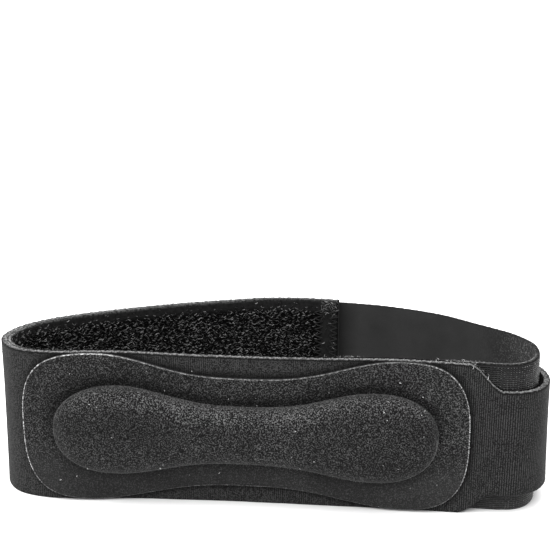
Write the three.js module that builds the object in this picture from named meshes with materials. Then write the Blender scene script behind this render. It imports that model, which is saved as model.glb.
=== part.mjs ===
// Patella strap, turned pad side out and standing on its lower edge.
// Millimetres, +Z up. The loop is seen from above as a plan line that every layer follows:
// it starts at the seam in the back wall and runs left, round the left bend, along the
// front with the pad, and round the right bend back to the seam. The pad faces -Y.
// A run is a distance in millimetres along that line from the seam, and an offset is a
// distance out from it.
import * as THREE from 'three';

// Driving dimensions of the loop and of the layers
const LOOP_WIDTH = 173.8;
const LOOP_DEPTH = 68.5;
const BAND_HEIGHT = 50;
const KNIT_THICKNESS = 1.9;
const PILE_THICKNESS = 1.0;
const TAB_THICKNESS = 0.8;
const HOOK_THICKNESS = 0.6;
const LAYER_GAP = 0.3;
const LOBE_SWELL = 0.9;
const SWELL_FADE_LENGTH = 45;

// Driving dimensions of the dog-bone backing, and the margins that it leaves round the pad
const BACKING_LENGTH = 142.3;
const BACKING_THICKNESS = 1.3;
const BACKING_LOBE_SPACING = 98;
const BACKING_LOBE_MARGIN = 0.4;
const BACKING_NECK_MARGIN = 6.6;
const PAD_END_MARGIN = 9.6;
const PAD_LOBE_MARGIN = 10.0;
const PAD_NECK_MARGIN = 8.8;
const PAD_LOBE_SPACING = 84;
const PAD_THICKNESS = 9;
const PAD_NECK_THICKNESS = 7.6;

// Driving dimensions of the tongue and of the tab
const SHOULDER_LENGTH = 11.5;
const UPPER_SHOULDER_LEAD = 1.4;
const LOWER_SHOULDER_LEAD = 3.2;
const TONGUE_LENGTH = 158;
const TONGUE_LOWER_STEP = 6.8;
const TONGUE_UPPER_STEP = 8.2;
const TONGUE_END_LENGTH = 12;
const TAB_LENGTH = 152;
const TAB_OVERLAP = 9;
const TAB_END_LENGTH = 23;
const TAB_SEAM_DROP = 1.6;
const TAB_DROP_LENGTH = 45;
const HOOK_EDGE_MARGIN = 0.5;
const HOOK_SEAM_MARGIN = 16;
const CROSSING_CLEARANCE = 4;
const LANDING_LENGTH = 14;

// Fineness of the model, and the small bevel on the edges of the foam-backed knit
const STATION_STEP = 4;
const END_STEPS = 9;
const BONE_STEPS = 44;
const CROWN_STEPS = 14;
const EDGE_BEVEL = 0.5;

// The plan line, in shares of the loop's width from its left bend and of its depth from its front
const PLAN = [
  { name: 'seam', across: 0.632, deep: 0.944 },
  { name: 'back crown', across: 0.49, deep: 1.0 },
  { name: 'back, left half', across: 0.352, deep: 0.945 },
  { name: 'back, falling', across: 0.214, deep: 0.839 },
  { name: 'back, far left', across: 0.094, deep: 0.712 },
  { name: 'left shoulder', across: 0.025, deep: 0.578 },
  { name: 'left bend', across: 0.0, deep: 0.416 },
  { name: 'front left corner', across: 0.025, deep: 0.263 },
  { name: 'front, left lobe', across: 0.085, deep: 0.193 },
  { name: 'front, left of neck', across: 0.226, deep: 0.184 },
  { name: 'front neck', across: 0.398, deep: 0.156 },
  { name: 'front, right of neck', across: 0.57, deep: 0.112 },
  { name: 'front, right lobe', across: 0.742, deep: 0.063 },
  { name: 'start of the tongue', across: 0.869, deep: 0.02 },
  { name: 'front right', across: 0.938, deep: 0.0 },
  { name: 'front right corner', across: 0.976, deep: 0.048 },
  { name: 'right bend, front', across: 0.997, deep: 0.142 },
  { name: 'right bend', across: 1.0, deep: 0.248 },
  { name: 'right bend, back', across: 0.987, deep: 0.359 },
  { name: 'right shoulder', across: 0.959, deep: 0.48 },
  { name: 'back, far right', across: 0.895, deep: 0.622 },
  { name: 'back, rising', across: 0.827, deep: 0.746 },
  { name: 'back, right half', across: 0.757, deep: 0.831 },
  { name: 'back, near the seam', across: 0.69, deep: 0.898 },
];

// Where the pad's middle lies and where the tab starts to cross over, as shares of the plan line
const PAD_SHARE = 0.5255;
const CROSSING_SHARE = 0.79;

const planLine = new THREE.CatmullRomCurve3(
  PLAN.map((row) => new THREE.Vector3(row.across * LOOP_WIDTH, row.deep * LOOP_DEPTH, 0)),
  true,
  'centripetal',
);
planLine.arcLengthDivisions = 1200;

// Sizes that follow from the ones above
const PLAN_LENGTH = planLine.getLength();
const BAND_THICKNESS = KNIT_THICKNESS + LAYER_GAP + PILE_THICKNESS;
const WHOLE_TAB_THICKNESS = TAB_THICKNESS + LAYER_GAP + HOOK_THICKNESS;
const LAYER_SPACING = BAND_THICKNESS / 2 + LAYER_GAP + WHOLE_TAB_THICKNESS / 2;
const PAD_RUN = PAD_SHARE * PLAN_LENGTH;
const BACKING_END = PAD_RUN + BACKING_LENGTH / 2;
const TONGUE_START = BACKING_END + SHOULDER_LENGTH - UPPER_SHOULDER_LEAD;
const BAND_END = TONGUE_START + TONGUE_LENGTH;
const TAB_END = PLAN_LENGTH + TAB_OVERLAP;
const TAB_TIP = TAB_END - TAB_LENGTH;
const BACKING_INNER = BAND_THICKNESS / 2 + LAYER_GAP;
const PAD_BASE = BACKING_INNER + BACKING_THICKNESS + LAYER_GAP;

// The tab lies inside the band at the front and outside it at the seam. It crosses over on the
// back wall's right half, where only the tongue runs beside it, and the tongue moves out with it.
// Past the tab's end the tongue lands on the band.
const CROSSING_START = CROSSING_SHARE * PLAN_LENGTH;
const CROSSING_END = PLAN_LENGTH - CROSSING_CLEARANCE;
const LANDING_START = TAB_END + LAYER_GAP;

function ease(value, start, end) {
  return THREE.MathUtils.smoothstep(value, start, end);
}

function tabOffset(run) {
  return LAYER_SPACING * (2 * ease(run, CROSSING_START, CROSSING_END) - 1);
}

// The band's own offset: none until the tongue, which keeps outside the tab and then outside
// the band's first stretch
function bandOffset(run) {
  const overTab = tabOffset(run) + LAYER_SPACING;
  const overBand = BAND_THICKNESS + LAYER_GAP;
  const landing = ease(run, LANDING_START, LANDING_START + LANDING_LENGTH);
  return THREE.MathUtils.lerp(overTab, overBand, landing);
}

function placed(run, offset, height) {
  const share = THREE.MathUtils.euclideanModulo(run, PLAN_LENGTH) / PLAN_LENGTH;
  const point = planLine.getPointAt(share);
  const tangent = planLine.getTangentAt(share);
  return [point.x + tangent.y * offset, point.y - tangent.x * offset, height];
}

// Runs from start to end on the common stations, so that layers side by side bend alike
function commonRuns(start, end) {
  const nearest = STATION_STEP / 3;
  const first = Math.ceil((start + nearest) / STATION_STEP);
  const last = Math.floor((end - nearest) / STATION_STEP);
  const runs = [start];
  for (let step = first; step <= last; step += 1) {
    runs.push(step * STATION_STEP);
  }
  runs.push(end);
  return runs;
}

// Runs over a round end, in order of growing run, that crowd towards its tip
function endRuns(tip, towardsTip, endLength) {
  const runs = [];
  for (let step = 0; step < END_STEPS; step += 1) {
    const left = endLength * (1 - Math.cos((step / END_STEPS) * (Math.PI / 2)));
    runs.push(tip - towardsTip * left);
  }
  return towardsTip > 0 ? runs.reverse() : runs;
}

// Draws both edges in towards the middle near a round free end, where left is the run to its tip
function roundedEnd({ low, high }, left, endLength) {
  if (left >= endLength) {
    return { low, high };
  }
  const bluntTip = 0.16;
  const reach = 1 - Math.max(left, 0) / endLength;
  const keep = Math.max(Math.sqrt(1 - reach * reach), bluntTip);
  const middle = (low + high) / 2;
  const half = ((high - low) / 2) * keep;
  return { low: middle - half, high: middle + half };
}

// A closed mesh through rings of equal length, with a flat cap on each end
function loftGeometry(rings) {
  const count = rings[0].length;
  const indices = [];
  for (let ring = 0; ring + 1 < rings.length; ring += 1) {
    for (let side = 0; side < count; side += 1) {
      const a = ring * count + side;
      const b = ring * count + ((side + 1) % count);
      indices.push(a, b + count, b, a, a + count, b + count);
    }
  }
  const lastRing = (rings.length - 1) * count;
  for (let side = 1; side + 1 < count; side += 1) {
    indices.push(0, side, side + 1);
    indices.push(lastRing, lastRing + side + 1, lastRing + side);
  }
  const geometry = new THREE.BufferGeometry();
  geometry.setAttribute('position', new THREE.Float32BufferAttribute(rings.flat(2), 3));
  geometry.setIndex(indices);
  geometry.computeVertexNormals();
  return geometry;
}

// One section of a wall: inner and outer are its faces' offsets, low and high its edges' heights
function wallRing({ run, inner, outer, low, high }) {
  return [
    placed(run, inner, low),
    placed(run, outer, low),
    placed(run, outer, high),
    placed(run, inner, high),
  ];
}

function bevelledWallRing({ run, inner, outer, low, high }) {
  return [
    placed(run, inner, low),
    placed(run, outer - EDGE_BEVEL, low),
    placed(run, outer, low + EDGE_BEVEL),
    placed(run, outer, high - EDGE_BEVEL),
    placed(run, outer - EDGE_BEVEL, high),
    placed(run, inner, high),
  ];
}

// How far one edge of the band has stepped in from full height to the tongue, 0 to 1, where
// lead is how far before the backing's end its shoulder starts
function shoulderShare(run, lead) {
  return ease(run, BACKING_END - lead, BACKING_END - lead + SHOULDER_LENGTH);
}

// How much of the lobes' swell a place has: none at the neck, all of it from the lobes outwards
function lobeShare(distance, lobeSpacing) {
  const neckEvenness = 1.6;
  const share = Math.min(Math.abs(distance) / (lobeSpacing / 2), 1);
  return ((1 - Math.cos(Math.PI * share)) / 2) ** neckEvenness;
}

function bandEdges(run) {
  const distance = Math.abs(run - PAD_RUN);
  const lobe = BACKING_LOBE_SPACING / 2;
  const fading = 1 - ease(distance, lobe, lobe + SWELL_FADE_LENGTH);
  const swell = LOBE_SWELL * lobeShare(distance, BACKING_LOBE_SPACING) * fading;
  const low = TONGUE_LOWER_STEP * shoulderShare(run, LOWER_SHOULDER_LEAD);
  const upperStep = TONGUE_UPPER_STEP * shoulderShare(run, UPPER_SHOULDER_LEAD);
  const edges = { low, high: BAND_HEIGHT + swell - upperStep };
  return roundedEnd(edges, BAND_END - run, TONGUE_END_LENGTH);
}

// The band's stations, twice as close along the shoulders
function bandRuns() {
  const shoulders = commonRuns(BACKING_END - LOWER_SHOULDER_LEAD, TONGUE_START);
  const between = shoulders.slice(1, -1).map((run) => run - STATION_STEP / 2);
  const wide = commonRuns(0, BAND_END - TONGUE_END_LENGTH);
  return [...wide, ...between, ...endRuns(BAND_END, 1, TONGUE_END_LENGTH)].sort((a, b) => a - b);
}

function bandLayer(inner, outer, ring) {
  const runs = bandRuns();
  const rings = runs.map((run) => {
    const offset = bandOffset(run);
    return ring({ run, inner: offset + inner, outer: offset + outer, ...bandEdges(run) });
  });
  return loftGeometry(rings);
}

function knitBandGeometry() {
  const outer = BAND_THICKNESS / 2;
  return bandLayer(outer - KNIT_THICKNESS, outer, bevelledWallRing);
}

function pileLiningGeometry() {
  const inner = -BAND_THICKNESS / 2;
  return bandLayer(inner, inner + PILE_THICKNESS, wallRing);
}

// The tab is as high as the band, and a little lower where it is sewn on. The margin is how
// far the layer stops short of the tab's edges.
function tabEdges(run, margin) {
  const drop = TAB_SEAM_DROP * ease(run, TAB_END - TAB_DROP_LENGTH, TAB_END);
  const edges = { low: margin, high: BAND_HEIGHT - drop - margin };
  return roundedEnd(edges, run - TAB_TIP - margin, TAB_END_LENGTH);
}

function tabLayer(inner, outer, margin, end) {
  const tip = TAB_TIP + margin;
  const runs = [...endRuns(tip, -1, TAB_END_LENGTH), ...commonRuns(tip + TAB_END_LENGTH, end)];
  const rings = runs.map((run) => {
    const offset = tabOffset(run);
    return wallRing({ run, inner: offset + inner, outer: offset + outer, ...tabEdges(run, margin) });
  });
  return loftGeometry(rings);
}

function fasteningTabGeometry() {
  const inner = -WHOLE_TAB_THICKNESS / 2;
  return tabLayer(inner, inner + TAB_THICKNESS, 0, TAB_END);
}

function hookTapeGeometry() {
  const outer = WHOLE_TAB_THICKNESS / 2;
  return tabLayer(outer - HOOK_THICKNESS, outer, HOOK_EDGE_MARGIN, PLAN_LENGTH - HOOK_SEAM_MARGIN);
}

// A dog-bone outline whose upper and lower edges keep their own margins inside the band's edges
// at the lobes and at the neck. It rides up with the band's swell over each lobe, and the ends
// beyond the lobes are blunt arcs.
function boneEdges(distance, bone) {
  const lobe = bone.lobeSpacing / 2;
  const share = lobeShare(distance, bone.lobeSpacing);
  const margin = THREE.MathUtils.lerp(bone.neckMargin, bone.lobeMargin, share);
  const middle = BAND_HEIGHT / 2 + LOBE_SWELL * share;
  let half = (BAND_HEIGHT + LOBE_SWELL * share) / 2 - margin;
  const away = Math.abs(distance) - lobe;
  if (away > 0) {
    const reach = away / (bone.length / 2 - lobe);
    half *= (1 - reach ** bone.bluntness) ** (1 / bone.bluntness);
  }
  return { low: middle - half, high: middle + half };
}

const BACKING_BONE = {
  length: BACKING_LENGTH,
  lobeSpacing: BACKING_LOBE_SPACING,
  lobeMargin: BACKING_LOBE_MARGIN,
  neckMargin: BACKING_NECK_MARGIN,
  bluntness: 2.9,
};

const PAD_BONE = {
  length: BACKING_LENGTH - 2 * PAD_END_MARGIN,
  lobeSpacing: PAD_LOBE_SPACING,
  lobeMargin: BACKING_LOBE_MARGIN + PAD_LOBE_MARGIN,
  neckMargin: BACKING_NECK_MARGIN + PAD_NECK_MARGIN,
  bluntness: 2.2,
};

// Distances from the middle of a dog-bone that crowd towards both ends and stop just short of them
function boneDistances(length, tipShare) {
  const distances = [];
  for (let step = 0; step <= BONE_STEPS; step += 1) {
    const turn = (Math.PI * (step + tipShare)) / (BONE_STEPS + 2 * tipShare);
    distances.push((-Math.cos(turn) * length) / 2);
  }
  return distances;
}

function padBackingGeometry() {
  const bluntTip = 0.12;
  const rings = boneDistances(BACKING_BONE.length, bluntTip).map((distance) => bevelledWallRing({
    run: PAD_RUN + distance,
    inner: BACKING_INNER,
    outer: BACKING_INNER + BACKING_THICKNESS,
    ...boneEdges(distance, BACKING_BONE),
  }));
  return loftGeometry(rings);
}

// The cushion: each station is a crowned section, flat where it lies on the backing
function bonePadGeometry() {
  const bluntTip = 0.35;
  const crownPower = 0.72;
  const endFall = 6;
  const rings = boneDistances(PAD_BONE.length, bluntTip).map((distance) => {
    const { low, high } = boneEdges(distance, PAD_BONE);
    const middle = (low + high) / 2;
    const half = (high - low) / 2;
    const share = lobeShare(distance, PAD_BONE.lobeSpacing);
    const level = THREE.MathUtils.lerp(PAD_NECK_THICKNESS, PAD_THICKNESS, share);
    const crown = level * Math.sqrt(1 - Math.abs((2 * distance) / PAD_BONE.length) ** endFall);
    const ring = [];
    for (let step = 0; step <= CROWN_STEPS; step += 1) {
      const angle = (Math.PI * step) / CROWN_STEPS;
      const across = -Math.sign(Math.cos(angle)) * Math.abs(Math.cos(angle)) ** crownPower;
      const rise = Math.max(Math.sin(angle), 0) ** crownPower;
      ring.push(placed(PAD_RUN + distance, PAD_BASE + crown * rise, middle + half * across));
    }
    return ring;
  });
  return loftGeometry(rings);
}

function fabric(name, color, roughness) {
  return new THREE.MeshStandardMaterial({ name, color, roughness, metalness: 0 });
}

const strap = new THREE.Group();
strap.name = 'patella_strap';

function addPiece(name, geometry, pieceMaterial) {
  const mesh = new THREE.Mesh(geometry, pieceMaterial);
  mesh.name = name;
  strap.add(mesh);
}

addPiece('knit_band', knitBandGeometry(), fabric('ribbed_knit', '#2b2b2d', 0.86));
addPiece('pile_lining', pileLiningGeometry(), fabric('loop_pile', '#151516', 0.96));
addPiece('fastening_tab', fasteningTabGeometry(), fabric('smooth_fabric', '#3a3a3c', 0.74));
addPiece('hook_tape', hookTapeGeometry(), fabric('hook_tape', '#2c2c2e', 0.62));
addPiece('pad_backing', padBackingGeometry(), fabric('brushed_fabric', '#39393b', 0.9));
addPiece('bone_pad', bonePadGeometry(), fabric('pad_fabric', '#424244', 0.93));

// The origin is under the middle of the strap's box, on the surface that it stands on
const centre = new THREE.Box3().setFromObject(strap).getCenter(new THREE.Vector3());
strap.position.set(-centre.x, -centre.y, 0);
strap.updateMatrixWorld(true);

export default strap;
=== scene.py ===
"""Patella strap, turned pad side out and standing on its lower edge.

A rib knit band with a loop pile lining is bent into a loop. A brushed dog-bone backing with a
moulded pad lies on its front, a narrow tongue runs on from its right end, and a smooth fastening
tab with a field of hooks is sewn on at the back. Metres, +Z up, the pad faces -Y. A run is a
distance along the loop from the seam, and an offset is a distance out from the plan line.
"""

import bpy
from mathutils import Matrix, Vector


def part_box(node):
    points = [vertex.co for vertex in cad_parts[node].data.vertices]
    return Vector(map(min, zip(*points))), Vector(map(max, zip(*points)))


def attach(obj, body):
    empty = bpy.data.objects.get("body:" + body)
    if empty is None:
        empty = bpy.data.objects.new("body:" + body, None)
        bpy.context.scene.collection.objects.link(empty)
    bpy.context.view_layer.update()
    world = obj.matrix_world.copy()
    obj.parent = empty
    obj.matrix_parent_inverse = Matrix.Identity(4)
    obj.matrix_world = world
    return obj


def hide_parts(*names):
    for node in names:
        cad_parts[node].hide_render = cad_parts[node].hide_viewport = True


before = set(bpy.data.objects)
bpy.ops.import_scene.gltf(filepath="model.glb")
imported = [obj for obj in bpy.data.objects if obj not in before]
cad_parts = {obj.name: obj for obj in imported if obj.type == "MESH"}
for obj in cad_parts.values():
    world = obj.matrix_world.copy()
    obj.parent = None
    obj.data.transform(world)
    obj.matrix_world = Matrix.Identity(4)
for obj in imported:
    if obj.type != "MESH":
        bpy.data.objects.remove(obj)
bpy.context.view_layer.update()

import math

import bpy
import numpy as np
from bpy.props import FloatProperty, FloatVectorProperty, IntProperty, PointerProperty
from mathutils import Vector

bl_info = {
    "name": "Patella strap",
    "version": (1, 0, 0),
    "blender": (4, 5, 0),
    "location": "3D View > Sidebar > Strap",
    "description": "Makes a knee strap of rib knit with a loop pile lining, a dog-bone pad and a hook tab",
    "category": "Add Mesh",
}

# The plan line: a place, and its shares of the loop's width from the left bend and of its depth
# from the front
PLAN = (
    ("seam", 0.632, 0.944),
    ("back crown", 0.49, 1.0),
    ("back, left half", 0.352, 0.945),
    ("back, falling", 0.214, 0.839),
    ("back, far left", 0.094, 0.712),
    ("left shoulder", 0.025, 0.578),
    ("left bend", 0.0, 0.416),
    ("front left corner", 0.025, 0.263),
    ("front, left lobe", 0.085, 0.193),
    ("front, left of neck", 0.226, 0.184),
    ("front neck", 0.398, 0.156),
    ("front, right of neck", 0.57, 0.112),
    ("front, right lobe", 0.742, 0.063),
    ("start of the tongue", 0.869, 0.02),
    ("front right", 0.938, 0.0),
    ("front right corner", 0.976, 0.048),
    ("right bend, front", 0.997, 0.142),
    ("right bend", 1.0, 0.248),
    ("right bend, back", 0.987, 0.359),
    ("right shoulder", 0.959, 0.48),
    ("back, far right", 0.895, 0.622),
    ("back, rising", 0.827, 0.746),
    ("back, right half", 0.757, 0.831),
    ("back, near the seam", 0.69, 0.898),
)
PAD_SHARE = 0.5255
CROSSING_SHARE = 0.79
UP = np.array((0.0, 0.0, 1.0))
FIBRES = "Fibres on a surface"
NAP_GRAIN = 0.0004  # Size of the specks of a brushed nap
TUCK = 0.00004  # How far a layer starts off the face that it lies on
ANY_WAY = 3.1  # Spin of a fibre that may face any way, in radians either way


def linear(colour):
    """A colour's sRGB hex value as linear red, green, blue and alpha."""
    parts = [int(colour[at : at + 2], 16) / 255 for at in (1, 3, 5)]
    return [p / 12.92 if p <= 0.04045 else ((p + 0.055) / 1.055) ** 2.4 for p in parts] + [1.0]


def length(name, description, default):
    return FloatProperty(
        name=name,
        description=description,
        default=default,
        min=0.0,
        precision=5,
        subtype="DISTANCE",
        unit="LENGTH",
    )


def colour(name, description, default):
    return FloatVectorProperty(
        name=name,
        description=description,
        default=linear(default),
        size=4,
        min=0.0,
        max=1.0,
        subtype="COLOR",
    )


class StrapSizes(bpy.types.PropertyGroup):
    loop_width: length("Loop width", "Width of the loop's plan line", 0.1738)
    loop_depth: length("Loop depth", "Depth of the loop's plan line", 0.0685)
    band_height: length("Band height", "Height of the band", 0.050)
    knit: length("Knit thickness", "Foam-backed knit of the band", 0.0019)
    pile: length("Pile thickness", "Loop pile lining of the band", 0.0010)
    tab: length("Tab thickness", "Smooth fabric of the tab", 0.0008)
    hooks: length("Hook tape thickness", "Hook tape on the tab", 0.0006)
    gap: length("Layer gap", "Room between two layers of the frame", 0.0003)
    lobe_swell: length("Lobe swell", "Rise of the band's upper edge at the pad's lobes", 0.0009)
    swell_fade: length("Swell fade", "Length over which the swell fades out", 0.045)
    backing_length: length("Backing length", "Length of the dog-bone backing", 0.1423)
    backing: length("Backing thickness", "Thickness of the dog-bone backing", 0.0013)
    backing_lobes: length("Backing lobes", "Distance between the backing's lobes", 0.098)
    backing_lobe_margin: length("Backing lobe margin", "Band left free at a lobe", 0.0004)
    backing_neck_margin: length("Backing neck margin", "Band left free at the neck", 0.0066)
    pad_end_margin: length("Pad end margin", "Backing left free at the pad's ends", 0.0096)
    pad_lobe_margin: length("Pad lobe margin", "Backing left free at a lobe", 0.010)
    pad_neck_margin: length("Pad neck margin", "Backing left free at the neck", 0.0088)
    pad_lobes: length("Pad lobes", "Distance between the pad's lobes", 0.084)
    pad: length("Pad thickness", "Height of the pad's lobes", 0.009)
    pad_neck: length("Pad neck thickness", "Height of the pad's neck", 0.0076)
    shoulder: length("Shoulder length", "Run over which the band narrows", 0.0115)
    upper_lead: length("Upper shoulder lead", "How far before the backing's end it starts", 0.0014)
    lower_lead: length("Lower shoulder lead", "How far before the backing's end it starts", 0.0032)
    tongue: length("Tongue length", "Length of the narrow tongue", 0.158)
    tongue_lower_step: length("Tongue lower step", "Rise of the tongue's lower edge", 0.0068)
    tongue_upper_step: length("Tongue upper step", "Fall of the tongue's upper edge", 0.0082)
    tongue_end: length("Tongue end", "Length of the tongue's round end", 0.012)
    tab_length: length("Tab length", "Length of the fastening tab", 0.152)
    tab_overlap: length("Tab overlap", "How far the tab is sewn over the band", 0.009)
    tab_end: length("Tab end", "Length of the tab's round end", 0.023)
    tab_drop: length("Tab drop", "How much lower the tab is at the seam", 0.0007)
    tab_rise: length("Tab rise", "Rise of the tab's upper edge at the right bend", 0.0011)
    seam_rise: length("Seam rise", "Rise of the band's upper edge at the seam", 0.0007)
    tab_drop_length: length("Tab drop length", "Run over which the tab gets lower", 0.045)
    hook_edge_margin: length("Hook edge margin", "Tab left free round the hook tape", 0.0005)
    hook_seam_margin: length("Hook seam margin", "Tab left free before the seam", 0.016)
    flare: length("Flare", "How far the lower edge stands out at both bends", 0.0009)
    crossing_clearance: length("Crossing clearance", "Where the tab has crossed over", 0.004)
    landing: length("Landing length", "Run over which the tongue lands on the band", 0.014)


class StrapDetails(bpy.types.PropertyGroup):
    wave: length("Cloth wave", "Slow unevenness of the cloth wall", 0.00012)
    ripple: length("Edge ripple", "Unevenness of the cut edges", 0.00014)
    rib_pitch: length("Rib pitch", "Distance between two wales of the knit", 0.00068)
    rib_depth: length("Rib depth", "Depth of the grooves between the wales", 0.00010)
    loop: length("Loop length", "Length of one loop of the pile", 0.0017)
    loop_thread: length("Loop thread", "Thickness of the pile's thread", 0.0002)
    plain: length("Plain selvage", "Smooth strip at the upper edge of the pile", 0.0029)
    fray: length("Fray length", "Length of the fibres that stand out of a cut edge", 0.00055)
    nap: length("Nap length", "Length of the brushed fibres", 0.0007)
    hook_pitch: length("Hook pitch", "Distance between two hooks of a row", 0.0011)
    hook_rows: length("Hook rows", "Distance between two rows of hooks", 0.00068)
    stitch_pitch: length("Stitch pitch", "Height of one zigzag", 0.0021)
    stitch_width: length("Stitch width", "Width of one zigzag", 0.0028)
    bead: length("Bead", "Radius of the bead round the backing", 0.00016)
    pressed: length("Pressed strip", "Pile pressed flat by the seam", 0.0060)
    seed: IntProperty(name="Seed", description="Seed of everything scattered", default=7, min=0)


class StrapColours(bpy.types.PropertyGroup):
    # On the knit, the grooves' and wales' colours paint the ribs' shade and light
    knit: colour("Knit", "Grooves of the rib knit", "#0c0c0c")
    wale: colour("Wale", "Raised wales of the rib knit", "#333333")
    foam: colour("Foam", "Cut foam between the layers", "#272727")
    fray: colour("Fray", "Fibres of the cut edges", "#7d7d7d")
    # Near black: the pile's own black and the painted shade of its loops, and the colour of all painted
    # shade
    pile: colour("Pile ground", "Ground of the loop pile", "#020202")
    selvage: colour("Selvage", "Smooth and pressed strips of the pile", "#1c1c1c")
    loops: colour("Pile loops", "Lit side of the pile's loops", "#878787")
    tab: colour("Tab", "Smooth fabric of the tab", "#282828")
    hooks: colour("Hooks", "Moulded hooks", "#8b8b8b")
    backing: colour("Backing", "Ground of the brushed backing", "#0e0e0e")
    backing_nap: colour("Backing nap", "Lit fibres of the backing", "#4a4a4a")
    pad: colour("Pad", "Brushed fabric of the pad", "#090909")
    nap: colour("Nap", "Lit fibres of the pad", "#555555")
    thread: colour("Thread", "Sewing thread", "#040404")
    lint: colour("Lint", "Loose fibres", "#bebebe")
    floor: colour("Floor", "Studio floor", "#f2f2f2")


def ease(value, start, end):
    """0 before start and 1 after end, with a smooth turn between them."""
    share = np.clip((value - start) / (end - start), 0.0, 1.0)
    return share * share * (3 - 2 * share)


def lerp(low, high, share):
    return low + (high - low) * share


def smooth_loop(places, steps=90):
    """A closed centripetal curve through the places: its points and its directions."""
    before, after, beyond = (np.roll(places, shift, 0) for shift in (1, -1, -2))
    neighbours = ((before, places), (places, after), (after, beyond))
    s0, s1, s2 = (np.linalg.norm(b - a, axis=1)[:, None] ** 0.5 for a, b in neighbours)
    leave = ((places - before) / s0 - (after - before) / (s0 + s1) + (after - places) / s1) * s1
    arrive = ((after - places) / s1 - (beyond - places) / (s1 + s2) + (beyond - after) / s2) * s1
    square = 3 * (after - places) - 2 * leave - arrive
    cube = 2 * (places - after) + leave + arrive
    t = np.linspace(0, 1, steps, endpoint=False)[None, :, None]
    base, leave, square, cube = (x[:, None, :] for x in (places, leave, square, cube))
    points = (base + leave * t + square * t**2 + cube * t**3).reshape(-1, 2)
    ways = (leave + 2 * square * t + 3 * cube * t**2).reshape(-1, 2)
    return points, ways / np.linalg.norm(ways, axis=1)[:, None]


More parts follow.
